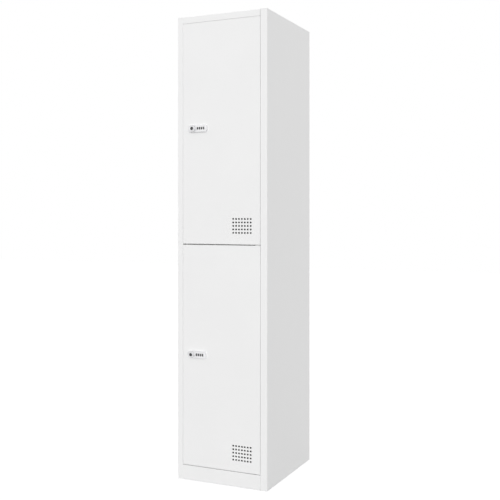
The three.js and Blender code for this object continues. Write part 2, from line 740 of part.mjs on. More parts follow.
// The part of the housing that passes through the door, made larger by the clearance for its hole
function bossOutline(clearance) {
  const corner = BOSS_CORNER + clearance;
  const height = BOSS_HEIGHT + 2 * clearance;
  return lockOutline(BOSS_LEFT + clearance, BOSS_END + clearance, height, corner, corner);
}

// A plate in X and Z from a shape, with its front edge rounded
function roundedPlate(shape, front, back, radius) {
  const settings = {
    depth: back - front,
    bevelEnabled: true,
    bevelThickness: radius,
    bevelSize: radius,
    bevelOffset: -radius,
    bevelSegments: BEND_STEPS,
  };
  const geometry = new THREE.ExtrudeGeometry(shape, settings);
  geometry.applyMatrix4(new THREE.Matrix4().makeBasis(X_AXIS, Z_AXIS, Y_AXIS.clone().negate()));
  const plate = solid(geometry.translate(0, back + radius, 0));
  const reach = 2 * HOUSING_RIGHT;
  return plate.intersect(box(-reach, reach, front - OVERRUN, back, -reach, reach));
}

function dialX(index) {
  return DIAL_FIRST + index * DIAL_PITCH;
}

function lockScrewHole(side, front, back) {
  const hole = rod(LOCK_SCREW_RADIUS + FIT, front, back, Y_AXIS, HOLE_SIDES);
  return hole.translate([LOCK_SCREW_X, 0, side * LOCK_SCREW_Z]);
}

function lockHousing(level) {
  const front = -HOUSING_PROUD - OVERRUN;
  const back = DOOR_SHEET + OVERRUN;
  let housing = roundedPlate(housingOutline(), -HOUSING_PROUD, 0, HOUSING_EDGE_RADIUS);
  housing = housing.add(inward(bossOutline(0), -OVERRUN, DOOR_SHEET));
  housing = housing.subtract(rod(SPINDLE_RADIUS + FIT, front, back, Y_AXIS));
  housing = housing.subtract(box(
    POCKET_LEFT, POCKET_RIGHT,
    WINDOW_WALL - HOUSING_PROUD, back,
    -POCKET_HALF, POCKET_HALF,
  ));
  const wallDepth = DIAL_RADIUS - DIAL_PEEK - WINDOW_WALL;
  const windowHalf = Math.sqrt(DIAL_RADIUS ** 2 - wallDepth ** 2) + FIT;
  for (let index = 0; index < DIAL_COUNT; index += 1) {
    housing = housing.subtract(box(
      dialX(index) - WINDOW_WIDTH / 2, dialX(index) + WINDOW_WIDTH / 2,
      front, OVERRUN - HOUSING_PROUD + WINDOW_WALL,
      -windowHalf, windowHalf,
    ));
  }
  const [seatLeft, seatRight] = [POCKET_LEFT - AXLE_SEAT, POCKET_RIGHT + AXLE_SEAT];
  const seat = rod(AXLE_RADIUS + FIT, seatLeft, seatRight, X_AXIS, HOLE_SIDES);
  housing = housing.subtract(seat.translate([0, DIAL_Y, 0]));
  for (const side of [-1, 1]) {
    housing = housing.subtract(lockScrewHole(side, -LOCK_SCREW_DEPTH - FIT, back));
  }
  return piece(`${level}_lock_housing`, housing, diecast());
}

function lockCover(level) {
  const dialBack = DIAL_Y + DIAL_RADIUS;
  const [front, back] = [COVER_FRONT - OVERRUN, COVER_BACK + OVERRUN];
  let cover = inward(housingOutline(), COVER_FRONT, COVER_BACK);
  cover = cover.subtract(rod(SPINDLE_RADIUS + FIT, front, back, Y_AXIS));
  cover = cover.subtract(box(
    POCKET_LEFT, POCKET_RIGHT,
    front, dialBack + DIAL_POCKET_CLEARANCE,
    -POCKET_HALF, POCKET_HALF,
  ));
  for (const side of [-1, 1]) {
    cover = cover.subtract(lockScrewHole(side, front, back));
  }
  return piece(`${level}_lock_back_cover`, cover, zincSteel());
}

// The rim has one shallow notch between each two digits
function dialWheel(name, index) {
  const outline = notchedCircle(DIAL_DIGITS, DIAL_RADIUS, DIAL_NOTCH_DEPTH, DIAL_CREST_SHARE);
  const halfRim = WINDOW_WIDTH / 2 - FIT;
  const halfHub = (DIAL_PITCH - FIT) / 2;
  const wheel = across(outline, -halfRim, halfRim)
    .add(rod(DIAL_HUB_RADIUS, -halfHub, halfHub, X_AXIS, HOLE_SIDES))
    .subtract(rod(AXLE_RADIUS + FIT, -halfHub - OVERRUN, halfHub + OVERRUN, X_AXIS, HOLE_SIDES));
  return piece(name, wheel, blackPlastic(), [dialX(index), DIAL_Y, 0]);
}

function dialAxle(level) {
  const left = POCKET_LEFT - AXLE_SEAT + FIT;
  const right = POCKET_RIGHT + AXLE_SEAT - FIT;
  const axle = rod(AXLE_RADIUS, left, right, X_AXIS, HOLE_SIDES);
  return piece(`${level}_lock_dial_axle`, axle, zincSteel(), [0, DIAL_Y, 0]);
}

// The knob head has flutes round its rim, a dished face and the spindle behind it
function lockKnob(level) {
  const outline = notchedCircle(KNOB_FLUTES, KNOB_RADIUS, KNOB_FLUTE_DEPTH, KNOB_CREST_SHARE);
  const shoulder = CAM_FRONT - FIT;
  const end = CAM_BACK - FIT;
  const half = SPINDLE_SQUARE / 2;
  const boreEnd = PLUG_SETBACK - KNOB_PROUD + PLUG_LENGTH + FIT;
  const [front, dishFloor] = [-KNOB_PROUD, KNOB_DISH_DEPTH - KNOB_PROUD];
  const dish = turned([
    [0, front - OVERRUN],
    [KNOB_DISH_RADIUS + OVERRUN, front - OVERRUN],
    [KNOB_DISH_RADIUS, front],
    [KNOB_DISH_RADIUS - KNOB_DISH_DEPTH, dishFloor],
    [0, dishFloor],
  ], Y_AXIS);
  const collarRadius = PLUG_RADIUS + FIT + KNOB_COLLAR_WALL;
  const collar = rod(collarRadius, front, dishFloor + KNOB_DISH_DEPTH, Y_AXIS);
  const screwBore = rod(CAM_SCREW_RADIUS + FIT, end - CAM_SCREW_LENGTH, end + OVERRUN, Y_AXIS, HOLE_SIDES);
  const knob = roundedPlate(outline, front, KNOB_BACK, KNOB_EDGE_RADIUS)
    .subtract(dish)
    .add(collar)
    .add(rod(SPINDLE_RADIUS, KNOB_BACK - OVERRUN, shoulder, Y_AXIS))
    .add(box(-half, half, shoulder - OVERRUN, end, -half, half))
    .subtract(rod(PLUG_RADIUS + FIT, front - OVERRUN, boreEnd, Y_AXIS))
    .subtract(screwBore);
  return piece(`${level}_lock_knob`, knob, diecast());
}

function keyPlug(level) {
  const front = PLUG_SETBACK - KNOB_PROUD;
  const half = KEY_SLOT_WIDTH / 2;
  const plug = rod(PLUG_RADIUS, front, front + PLUG_LENGTH, Y_AXIS).subtract(box(
    -half, half,
    front - OVERRUN, front + KEY_SLOT_DEPTH,
    -KEY_SLOT_HEIGHT / 2, KEY_SLOT_HEIGHT / 2,
  ));
  return piece(`${level}_lock_key_plug`, plug, blackPlastic());
}

// The cam hangs down from the spindle while the lock is open
function lockCam(level) {
  const half = CAM_WIDTH / 2;
  const meet = Math.asin(half / CAM_HUB_RADIUS);
  const quarter = Math.PI / 2;
  const [tipX, tipZ] = [half - CAM_TIP_RADIUS, CAM_TIP_RADIUS - CAM_LENGTH];
  const outline = polygon([
    ...arc(0, 0, CAM_HUB_RADIUS, meet - quarter, 3 * quarter - meet, 2 * CORNER_STEPS),
    ...arc(-tipX, tipZ, CAM_TIP_RADIUS, 2 * quarter, 3 * quarter, CORNER_STEPS),
    ...arc(tipX, tipZ, CAM_TIP_RADIUS, -quarter, 0, CORNER_STEPS),
  ]);
  const hole = SPINDLE_SQUARE / 2 + FIT;
  const cam = inward(outline, CAM_FRONT, CAM_BACK)
    .subtract(box(-hole, hole, CAM_FRONT - OVERRUN, CAM_BACK + OVERRUN, -hole, hole));
  return piece(`${level}_lock_cam`, cam, zincSteel());
}

// A screw along Y whose head is at the back
function screw(name, radius, length, headRadius, headHeight, position) {
  const profile = [
    [0, -length],
    [radius, -length],
    [radius, 0],
    [headRadius, 0],
    [headRadius, headHeight],
    [0, headHeight],
  ];
  return piece(name, turned(profile, Y_AXIS, HOLE_SIDES), zincSteel(), position);
}

function lock(level, lockX, lockZ) {
  const group = new THREE.Group();
  group.position.set(lockX, DOOR_FRONT, lockZ);
  group.add(lockHousing(level));
  group.add(lockCover(level));
  group.add(dialAxle(level));
  for (let index = 0; index < DIAL_COUNT; index += 1) {
    group.add(dialWheel(`${level}_lock_dial_${index + 1}`, index));
  }
  group.add(lockKnob(level));
  group.add(keyPlug(level));
  group.add(lockCam(level));
  const camSeat = [0, CAM_BACK + FIT, 0];
  group.add(screw(
    `${level}_lock_cam_screw`, CAM_SCREW_RADIUS, CAM_SCREW_LENGTH,
    CAM_SCREW_HEAD_RADIUS, CAM_SCREW_HEAD_HEIGHT, camSeat,
  ));
  const coverSeat = COVER_BACK + FIT;
  for (const [place, side] of [['high', 1], ['low', -1]]) {
    group.add(screw(
      `${level}_lock_screw_${place}`, LOCK_SCREW_RADIUS, coverSeat + LOCK_SCREW_DEPTH,
      LOCK_SCREW_HEAD_RADIUS, LOCK_SCREW_HEAD_HEIGHT, [LOCK_SCREW_X, coverSeat, side * LOCK_SCREW_Z],
    ));
  }
  return group;
}

function door(level, bottom, lockFromEdge, lockZ) {
  const lockX = DOOR_LEFT + lockFromEdge;
  const group = new THREE.Group();
  group.position.set(HINGE_X, HINGE_Y, bottom);
  group.add(doorPanel(level, lockX, lockZ));
  group.add(doorStiffener(level));
  group.add(hingeBush(`${level}_door_bottom_bush`, 0, 1, true));
  group.add(hingeBush(`${level}_door_top_bush`, DOOR_HEIGHT, -1, level === 'lower'));
  group.add(lock(level, lockX, lockZ));
  return group;
}

// The whole locker, built with its front face at zero depth and then moved to its origin
const locker = new THREE.Group();
locker.name = 'slim_locker';
locker.position.set(0, FRONT_Y, 0);
locker.add(sidePanel('left_side_panel', -1, LOCK_POST_WIDTH, LOCK_POST_WIDTH + STOP_WIDTH));
locker.add(sidePanel('right_side_panel', 1, HINGE_POST_WIDTH, HINGE_POST_WIDTH - STOP_WIDTH));
locker.add(backPanel());
locker.add(topPanel());
locker.add(bottomPanel());
locker.add(dividerShelf());
locker.add(kickPlate());
locker.add(topHingePin());
locker.add(middleHingePlate());
locker.add(middleHingePin());
locker.add(bottomHingePin());
locker.add(coatRail('upper', HEIGHT - BODY_SHEET));
locker.add(coatRail('lower', DIVIDER_TOP - BODY_SHEET));
for (const [level, bottom, lockFromEdge, lockZ] of [
  ['lower', LOWER_DOOR_BOTTOM, LOWER_LOCK_FROM_EDGE, LOWER_LOCK_HEIGHT],
  ['upper', UPPER_DOOR_BOTTOM, UPPER_LOCK_FROM_EDGE, UPPER_LOCK_HEIGHT],
]) {
  locker.add(door(level, bottom, lockFromEdge, lockZ));
  locker.add(doorBuffer(`${level}_low_buffer`, bottom + BUFFER_FROM_DOOR_END));
  locker.add(doorBuffer(`${level}_high_buffer`, bottom + DOOR_HEIGHT - BUFFER_FROM_DOOR_END));
}

export default locker;
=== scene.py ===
# %% [markdown]
# # A slim steel locker
# The locker stands 1.8 m high on a 380 by 450 mm footprint. Its carcass and its two doors are folded
# from thin sheet steel and powder coated white, and each door has a small combination lock.
# The construction model brings every piece at its real size. This script gives each one its finish,
# makes the pieces that are seen up close again as fine surfaces, and sets up a plain studio.

import json
import math

import bmesh
import bpy
import numpy as np
from mathutils.geometry import tessellate_polygon
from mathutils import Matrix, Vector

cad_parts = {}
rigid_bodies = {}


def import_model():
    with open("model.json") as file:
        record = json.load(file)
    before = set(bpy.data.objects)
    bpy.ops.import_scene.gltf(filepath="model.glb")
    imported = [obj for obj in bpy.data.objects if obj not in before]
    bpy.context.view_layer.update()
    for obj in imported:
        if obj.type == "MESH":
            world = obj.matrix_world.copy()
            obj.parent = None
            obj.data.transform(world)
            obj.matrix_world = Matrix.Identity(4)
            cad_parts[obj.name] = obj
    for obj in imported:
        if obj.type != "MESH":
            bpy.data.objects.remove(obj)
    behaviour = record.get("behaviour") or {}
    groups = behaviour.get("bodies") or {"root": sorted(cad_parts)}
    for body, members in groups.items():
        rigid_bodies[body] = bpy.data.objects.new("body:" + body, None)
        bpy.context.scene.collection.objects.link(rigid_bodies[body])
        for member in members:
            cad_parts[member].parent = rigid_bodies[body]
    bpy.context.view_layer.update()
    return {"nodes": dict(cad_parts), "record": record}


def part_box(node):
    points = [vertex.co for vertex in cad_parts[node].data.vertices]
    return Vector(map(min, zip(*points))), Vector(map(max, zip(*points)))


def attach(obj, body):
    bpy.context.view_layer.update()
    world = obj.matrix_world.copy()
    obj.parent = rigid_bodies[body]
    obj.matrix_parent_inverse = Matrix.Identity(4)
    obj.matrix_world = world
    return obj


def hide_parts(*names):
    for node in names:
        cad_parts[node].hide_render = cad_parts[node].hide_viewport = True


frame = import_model()
nodes = frame["nodes"]
LEVELS = ("lower", "upper")
DIALS = (1, 2, 3, 4)
MM = 0.001


def in_scene(name, data):
    """A new object of the scene with the given mesh, curve, camera or lamp."""
    item = bpy.data.objects.new(name, data)
    bpy.context.scene.collection.objects.link(item)
    return item


# %% [markdown]
# ## The camera
# The edges of the carcass in the photograph gave the camera: level, 1.03 m above the floor, turned
# 24.65 degrees to the left. The horizon lies a little above the middle of the picture, which a small
# lens shift gives without tilting the upright edges.

# %% Camera
FRAME_PIXELS = 500
FOCAL_PIXELS = 827.7
HORIZON_PIXEL = 215.51
CAMERA_PLACE = (1.4168, -3.04265, 1.0279)
CAMERA_YAW = math.radians(24.65)
SENSOR_WIDTH = 36.0

lens = bpy.data.cameras.new("studio_camera")
lens.sensor_width = SENSOR_WIDTH
lens.lens = FOCAL_PIXELS / FRAME_PIXELS * SENSOR_WIDTH
lens.shift_y = (HORIZON_PIXEL - FRAME_PIXELS / 2) / FRAME_PIXELS
camera = in_scene("studio_camera", lens)
camera.location = CAMERA_PLACE
camera.rotation_euler = (math.radians(90), 0, CAMERA_YAW)
bpy.context.scene.camera = camera
bpy.context.scene.view_settings.view_transform = "Standard"
print("lens:", round(lens.lens, 2), "mm, shift:", round(lens.shift_y, 3))

# %% [markdown]
# ## Finishes
# Powder is melted on the steel and leaves a hard, half-matt skin with a very fine orange peel. Two
# sizes of noise do that: about a millimetre for the peel, and a hand's width for the slow waviness of
# thin sheet. A node group holds both, and each coated surface sets its own depth. The metals and
# plastics share a second group, a fine grain whose size each material chooses.

# %% Small node helpers
def new_group(name, inputs, outputs):
    """An empty node group with named inputs and number outputs."""
    group = bpy.data.node_groups.new(name, "ShaderNodeTree")
    for label, kind, value in inputs:
        socket = group.interface.new_socket(label, in_out="INPUT", socket_type=kind)
        if value is not None:
            socket.default_value = value
    for label in outputs:
        group.interface.new_socket(label, in_out="OUTPUT", socket_type="NodeSocketFloat")
    return group, group.nodes.new("NodeGroupInput"), group.nodes.new("NodeGroupOutput")


def feed(tree, value, socket):
    """Set a socket to a number, or link another socket to it."""
    if isinstance(value, float):
        socket.default_value = value
    else:
        tree.links.new(value, socket)


def noise(tree, place, scale, detail):
    """Fractal noise through space, from 0 to 1; the scale is a number or a socket."""
    node = tree.nodes.new("ShaderNodeTexNoise")
    node.inputs["Detail"].default_value = detail
    feed(tree, place, node.inputs["Vector"])
    feed(tree, scale, node.inputs["Scale"])
    return node.outputs["Fac"]


def spread(tree, mask, low, high, to_low, to_high):
    """A mask's range stretched to another range and held at its ends."""
    node = tree.nodes.new("ShaderNodeMapRange")
    for label, value in (("From Min", low), ("From Max", high), ("To Min", to_low), ("To Max", to_high)):
        node.inputs[label].default_value = value
    tree.links.new(mask, node.inputs["Value"])
    return node.outputs["Result"]


def reckon(tree, operation, first, second):
    """One sum of two values, each a socket or a number."""
    node = tree.nodes.new("ShaderNodeMath")
    node.operation = operation
    feed(tree, first, node.inputs[0])
    feed(tree, second, node.inputs[1])
    return node.outputs["Value"]


def tint(tree, mask, low, high):
    """A colour that runs from low to high with the mask."""
    node = tree.nodes.new("ShaderNodeMix")
    node.data_type = "RGBA"
    node.inputs["A"].default_value = (*low, 1.0)
    node.inputs["B"].default_value = (*high, 1.0)
    tree.links.new(mask, node.inputs["Factor"])
    return node.outputs["Result"]


print("node helpers ready")

# %% The two groups
PEEL_SCALE = 850.0
WAVE_SCALE = 7.0
MIST_SCALE = 4.0
USUAL_GRAIN = 700.0
CLOUD_SHARE = 0.08


def orange_peel_group():
    """Height: fine peel plus slow waves. Mist: a slow mask for the gloss."""
    inputs = [("Place", "NodeSocketVector", None)]
    inputs += [(label, "NodeSocketFloat", 1.0) for label in ("Peel", "Wave")]
    tree, entry, leave = new_group("orange_peel", inputs, ["Height", "Mist"])
    place = entry.outputs["Place"]
    peel = reckon(tree, "MULTIPLY", noise(tree, place, PEEL_SCALE, detail=2.0), entry.outputs["Peel"])
    wave = reckon(tree, "MULTIPLY", noise(tree, place, WAVE_SCALE, detail=1.0), entry.outputs["Wave"])
    tree.links.new(reckon(tree, "ADD", peel, wave), leave.inputs["Height"])
    tree.links.new(noise(tree, place, MIST_SCALE, detail=3.0), leave.inputs["Mist"])
    return tree


def fine_grain_group():
    """Fine: a moulded or blasted grain of a chosen size. Cloud: a slower mask over it."""
    inputs = [("Place", "NodeSocketVector", None), ("Size", "NodeSocketFloat", USUAL_GRAIN)]
    tree, entry, leave = new_group("fine_grain", inputs, ["Fine", "Cloud"])
    place, size = entry.outputs["Place"], entry.outputs["Size"]
    slower = reckon(tree, "MULTIPLY", size, CLOUD_SHARE)
    tree.links.new(noise(tree, place, size, detail=3.0), leave.inputs["Fine"])
    tree.links.new(noise(tree, place, slower, detail=3.0), leave.inputs["Cloud"])
    return tree


orange_peel = orange_peel_group()
fine_grain = fine_grain_group()
print("groups:", orange_peel.name, fine_grain.name)

# %% A new material
def new_material(name):
    """A node material with a Principled shader; gives its tree, shader and place on the object."""
    material = bpy.data.materials.new(name)
    material.use_nodes = True
    tree = material.node_tree
    place = tree.nodes.new("ShaderNodeTexCoord").outputs["Object"]
    return material, tree, tree.nodes["Principled BSDF"], place


def use_group(tree, group, place, values):
    """Place a node group in a material with its own values."""
    node = tree.nodes.new("ShaderNodeGroup")
    node.node_tree = group
    tree.links.new(place, node.inputs["Place"])
    for label, value in values.items():
        node.inputs[label].default_value = value
    return node.outputs


def add_bump(tree, shader, height, depth):
    """Fine relief of a given depth in metres."""
    bump = tree.nodes.new("ShaderNodeBump")
    bump.inputs["Distance"].default_value = depth
    tree.links.new(height, bump.inputs["Height"])
    tree.links.new(bump.outputs["Normal"], shader.inputs["Normal"])


print("material helpers ready")

# %% Powder coat
TONE_RANGE = (0.35, 0.65)
GLOSS_RANGE = (0.3, 0.7)
COAT_WHITE = (0.865, 0.865, 0.865)
COAT_GREYER = 0.985
COAT_GLOSS_CHANGE = 0.04
PEEL_DEPTH = 0.05 * MM


def powder_coat(name, gloss, wave):
    """White coat: nearly even colour, half-matt, with fine peel and a little waviness."""
    material, tree, shader, place = new_material(name)
    peel = use_group(tree, orange_peel, place, {"Peel": 1.0, "Wave": wave})
    cloud = spread(tree, peel["Mist"], *TONE_RANGE, 0.0, 1.0)
    greyer = [part * COAT_GREYER for part in COAT_WHITE]
    ends = (gloss - COAT_GLOSS_CHANGE, gloss + COAT_GLOSS_CHANGE)
    tree.links.new(tint(tree, cloud, greyer, COAT_WHITE), shader.inputs["Base Color"])
    tree.links.new(spread(tree, peel["Mist"], *GLOSS_RANGE, *ends), shader.inputs["Roughness"])
    add_bump(tree, shader, peel["Height"], PEEL_DEPTH)
    return material


body_coat = powder_coat("white_powder_coat", 0.43, 1.5)
door_coat = powder_coat("white_powder_coat_of_doors", 0.41, 2.0)
print("coats:", body_coat.name, door_coat.name)

# %% [markdown]
# ## Metals, plastics and rubber
# The lock is a zinc casting with a pale satin chrome; its knob has the same plating, a little darker.
# The coat rails, pins and screws are zinc plated, the key plug is blackened, and the number dials are
# moulded in black with white figures.

# %% Plated metal and moulded plastic
GRAIN_GLOSS_CHANGE = 0.05
PLATE_DARKER = 0.94
PLATE_DEPTH = 0.008 * MM
MOULD_GAIN, MOULD_LIFT = 1.08, 0.002


def grained(name, metallic, low, high, rough, size, depth):
    """A material whose colour, gloss and relief all follow the fine grain group."""
    material, tree, shader, place = new_material(name)
    shader.inputs["Metallic"].default_value = metallic
    grain = use_group(tree, fine_grain, place, {"Size": size})
    cloud = spread(tree, grain["Cloud"], *TONE_RANGE, 0.0, 1.0)
    ends = (rough - GRAIN_GLOSS_CHANGE, rough + GRAIN_GLOSS_CHANGE)
    tree.links.new(tint(tree, cloud, low, high), shader.inputs["Base Color"])
    tree.links.new(spread(tree, grain["Fine"], *GLOSS_RANGE, *ends), shader.inputs["Roughness"])
    add_bump(tree, shader, grain["Fine"], depth)
    return material


def plated(name, tone, rough, size):
    """Plated metal: a slight change of tone and gloss."""
    return grained(name, 1.0, [part * PLATE_DARKER for part in tone], tone, rough, size, PLATE_DEPTH)


def moulded(name, tone, rough, size, depth):
    """Plastic or rubber with a fine moulded texture."""
    lighter = [part * MOULD_GAIN + MOULD_LIFT for part in tone]
    return grained(name, 0.0, tone, lighter, rough, size, depth)


satin_chrome = plated("satin_chrome", (0.80, 0.80, 0.81), 0.56, 900.0)
# The knob's plating: the satin chrome, a little darker and rougher.
darker_satin_chrome = plated("darker_satin_chrome", (0.74, 0.74, 0.75), 0.66, 900.0)
zinc_plate = plated("zinc_plate", (0.66, 0.67, 0.69), 0.34, 700.0)
black_plug = plated("blackened_plug", (0.10, 0.10, 0.103), 0.42, 900.0)
dial_black = moulded("dial_black", (0.022, 0.022, 0.024), 0.36, 1200.0, 0.01 * MM)
figure_white = moulded("figure_white", (0.64, 0.64, 0.62), 0.5, 1200.0, 0.01 * MM)
nylon = moulded("natural_nylon", (0.78, 0.77, 0.72), 0.48, 800.0, 0.015 * MM)
rubber = moulded("grey_rubber", (0.25, 0.25, 0.26), 0.75, 1300.0, 0.03 * MM)
print("finishes:", [material.name for material in bpy.data.materials])

# %% Every construction piece gets the finish of its slot
FINISH_OF_SLOT = {
    "body_paint": body_coat,
    "door_paint": door_coat,
    "lock_metal": satin_chrome,
    "zinc_steel": zinc_plate,
    "dark_metal": black_plug,
    "dial_plastic": dial_black,
    "nylon": nylon,
    "rubber": rubber,
}
slot_of = {entry["node"]: entry["material_slot"] for entry in frame["record"]["subparts"]}
for name, node in nodes.items():
    node.data.materials.clear()
    node.data.materials.append(FINISH_OF_SLOT[slot_of[name]])
print("finished:", len(slot_of), "pieces")

# %% [markdown]
# ## Surfaces from arrays
# Every new piece is worked out as whole arrays of points. A closed outline, repeated row by row with
# a changing size and depth, makes a wall: the side of a plate, a bore or a turned face. Flat faces
# with holes are filled between their outlines. The parts of a piece share their border points, so
# when points in one place are merged, the piece becomes one closed skin.

# %% Walls and flat faces
X_AXIS, Y_AXIS, Z_AXIS = 0, 1, 2


def grown(outline, distance):
    """Every side shifts by d: a point moves by d * 2m / |m|^2, with m the sum of its two edge normals."""
    before = outline - np.roll(outline, 1, axis=0)
    normal = np.stack([before[:, 1], -before[:, 0]], -1) / np.linalg.norm(before, axis=1)[:, None]
    mean = normal + np.roll(normal, -1, axis=0)
    return outline + distance * 2 * mean / np.sum(mean ** 2, axis=1)[:, None]


def wall(rows):
    """Rows of points round a closed outline: point c of row r has number r * around + c."""
    count, around = rows.shape[:2]
    r, c = np.meshgrid(np.arange(count - 1), np.arange(around), indexing="ij")
    after = (c + 1) % around
    corners = [r * around + c, r * around + after, (r + 1) * around + after, (r + 1) * around + c]
    return rows.reshape(-1, 3), np.stack(corners, -1).reshape(-1, 4)


def swept(outline, axis, steps):
    """A wall whose rows are the outline grown by a distance and put at a place along the axis."""
    rows = [np.insert(grown(outline, growth), axis, place, axis=1) for growth, place in steps]
    return wall(np.stack(rows))


def flat(outlines, axis, place):
    """A flat face across an axis: the first outline is its border, the others are its holes."""
    loops = [np.insert(outline, axis, place, axis=1) for outline in outlines]
    centre = loops[0].mean(axis=0)
    triangles = tessellate_polygon([((loop - centre) / MM).tolist() for loop in loops])
    return np.concatenate(loops), np.array(triangles)


plain_square = np.array([[0, 0], [1, 0], [1, 1], [0, 1]])
pierced = flat([plain_square, grown(plain_square, -0.2)], Y_AXIS, 0)
print("a square with a square hole takes", len(pierced[1]), "triangles")

# %% From parts to a finished piece
SHARP_ANGLE = 38
MERGE_DISTANCE = 0.002 * MM
made = {}


def piece(name, parts, body, replaced=(), slot=None, finish=None):
    """Join the parts, merge their shared points, turn the faces outwards and put the piece on a body."""
    slot = slot or slot_of[replaced[0]]
    starts = np.cumsum([0] + [len(points) for points, _ in parts])
    points = np.concatenate([points for points, _ in parts])
    faces = [face for start, (_, part) in zip(starts, parts) for face in (part + start).tolist()]
    mesh = bpy.data.meshes.new(name)
    mesh.from_pydata(points.tolist(), [], faces)
    work = bmesh.new()
    work.from_mesh(mesh)
    bmesh.ops.remove_doubles(work, verts=work.verts, dist=MERGE_DISTANCE)
    bmesh.ops.recalc_face_normals(work, faces=work.faces)
    made[name] = sum(len(edge.link_faces) != 2 for edge in work.edges)
    work.to_mesh(mesh)
    work.free()
    mesh.shade_smooth()
    mesh.set_sharp_from_angle(angle=math.radians(SHARP_ANGLE))
    mesh.materials.append(finish or FINISH_OF_SLOT[slot])
    shown = in_scene(name, mesh)
    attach(shown, body)
    if replaced:
        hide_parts(*replaced)
    return shown


def report(*pieces):
    """Print the faces of new pieces, and how many of their edges don't lie between two faces."""
    for shown in pieces:
        print(shown.name, len(shown.data.polygons), "faces,", made[shown.name], "open edges")


def corners_of(node):
    """Lowest and highest corner of a construction piece."""
    return tuple(np.array(corner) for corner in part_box(node))


def middle(node):
    """The middle of a construction piece."""
    return sum(corners_of(node)) / 2


print("middle of the upper knob:", np.round(middle("upper_lock_knob"), 4))

# %% [markdown]
# ## Outlines, edges and turned pieces
# Sheet and castings have no knife edges. A rounded edge is a quarter circle of steps between a face
# and a side, with a narrow flat margin at each end, which keeps the light even on the large faces.
# Turned pieces need only a profile of radius and place, carried round an axis.

# %% Outlines
MARGIN = 0.5 * MM
CORNER_STEPS, PLATE_STEPS, EDGE_STEPS, MOUTH_STEPS = 5, 12, 5, 3
SMALL_SIDES, HOLE_SIDES, TURNED_SIDES, ROUND_SIDES = 24, 32, 48, 64


def rectangle(left, right, low, high):
    """Four corners, counted anticlockwise."""
    return np.array([[left, low], [right, low], [right, high], [left, high]])


def circle(across, along, radius, sides=HOLE_SIDES):
    """Points at equal angles round a centre."""
    angle = np.arange(sides) * (2 * math.pi / sides)
    return np.stack([across + radius * np.cos(angle), along + radius * np.sin(angle)], -1)


def rounded(left, right, low, high, left_corner, right_corner, steps=CORNER_STEPS):
    """A rectangle whose corners are quarter circles about four fixed centres."""
    radius = np.array([right_corner, left_corner, left_corner, right_corner])
    across = np.array([right - right_corner, left + left_corner, left + left_corner, right - right_corner])
    along = np.array([high - right_corner, high - left_corner, low + left_corner, low + right_corner])
    angle = np.linspace(0, math.pi / 2, steps + 1) + np.arange(4)[:, None] * (math.pi / 2)
    x = across[:, None] + radius[:, None] * np.cos(angle)
    z = along[:, None] + radius[:, None] * np.sin(angle)
    return np.stack([x, z], -1).reshape(-1, 2)


def rounding(radius, place, inward, steps=EDGE_STEPS, margin=MARGIN):
    """Growth -r(1 - sin a) and depth r(1 - cos a) from a face to a side, with a flat margin at each end."""
    angle = np.linspace(0, math.pi / 2, steps + 1)
    inset = np.concatenate([[radius + margin], radius * (1 - np.sin(angle)), [0]])
    depth = np.concatenate([[0], radius * (1 - np.cos(angle)), [radius + margin]])
    return [(-i, place + inward * d) for i, d in zip(inset, depth)]


def mouth(radius, place, inward):
    """The same quarter circle round a hole, where it widens the outline."""
    return [(-growth, depth) for growth, depth in rounding(radius, place, inward, MOUTH_STEPS, radius)]


print("points round a plate:", len(rounded(0, 2, 0, 1, 0.3, 0.2)))

# %% Turned pieces
LONGEST_EASE = 0.45
EASE_STEPS = 4


def revolved(radii, along, centre, axis):
    """Rings about an axis: row by row, the radii round it and the place along it."""
    angle = np.arange(radii.shape[1]) * (2 * math.pi / radii.shape[1])
    rows = np.empty((*radii.shape, 3))
    rows[..., (axis + 1) % 3] = radii * np.cos(angle)
    rows[..., (axis + 2) % 3] = radii * np.sin(angle)
    rows[..., axis] = np.asarray(along)[:, None]
    offset = np.array(centre, float)
    offset[axis] = 0
    return wall(rows + offset)


def turned(profile, centre, axis, sides=TURNED_SIDES):
    """Each profile point is a radius and a place along the axis, carried once round the axis."""
    radius, along = np.array(profile, float).T
    return revolved(np.repeat(radius[:, None], sides, axis=1), along, centre, axis)


def eased(corners, radius):
    """A profile whose inner corners become curves: (1 - s)^2 a + 2 s (1 - s) b + s^2 c."""
    corners = np.array(corners, float)
    here = corners[1:-1]
    back, ahead = corners[:-2] - here, corners[2:] - here
    back_length = np.linalg.norm(back, axis=1)[:, None]
    ahead_length = np.linalg.norm(ahead, axis=1)[:, None]
    reach = np.minimum(radius, np.minimum(back_length, ahead_length) * LONGEST_EASE)
    start, end = here + back / back_length * reach, here + ahead / ahead_length * reach
    s = np.linspace(0, 1, EASE_STEPS + 1)[:, None]
    curve = (1 - s) ** 2 * start[:, None] + 2 * s * (1 - s) * here[:, None] + s ** 2 * end[:, None]
    return np.concatenate([corners[:1], curve.reshape(-1, 2), corners[-1:]])


print("points of an eased corner:", len(eased([[0, 0], [1, 0], [1, 1]], 0.2)))

# %% [markdown]
# ## Doors
# A door is a shallow pan: the face, four sides folded back, and a narrow lip folded in. The section
# of that fold, from the face round to the lip and back inside, is carried round the four corners,
# where it meets in a mitre. The face is filled between the fold, the cut-out for the lock and 35
# punched vent holes. The punch and the coat leave the rims of the holes slightly round. The top and
# bottom sides are filled in the same way, round a hole for the hinge pin.

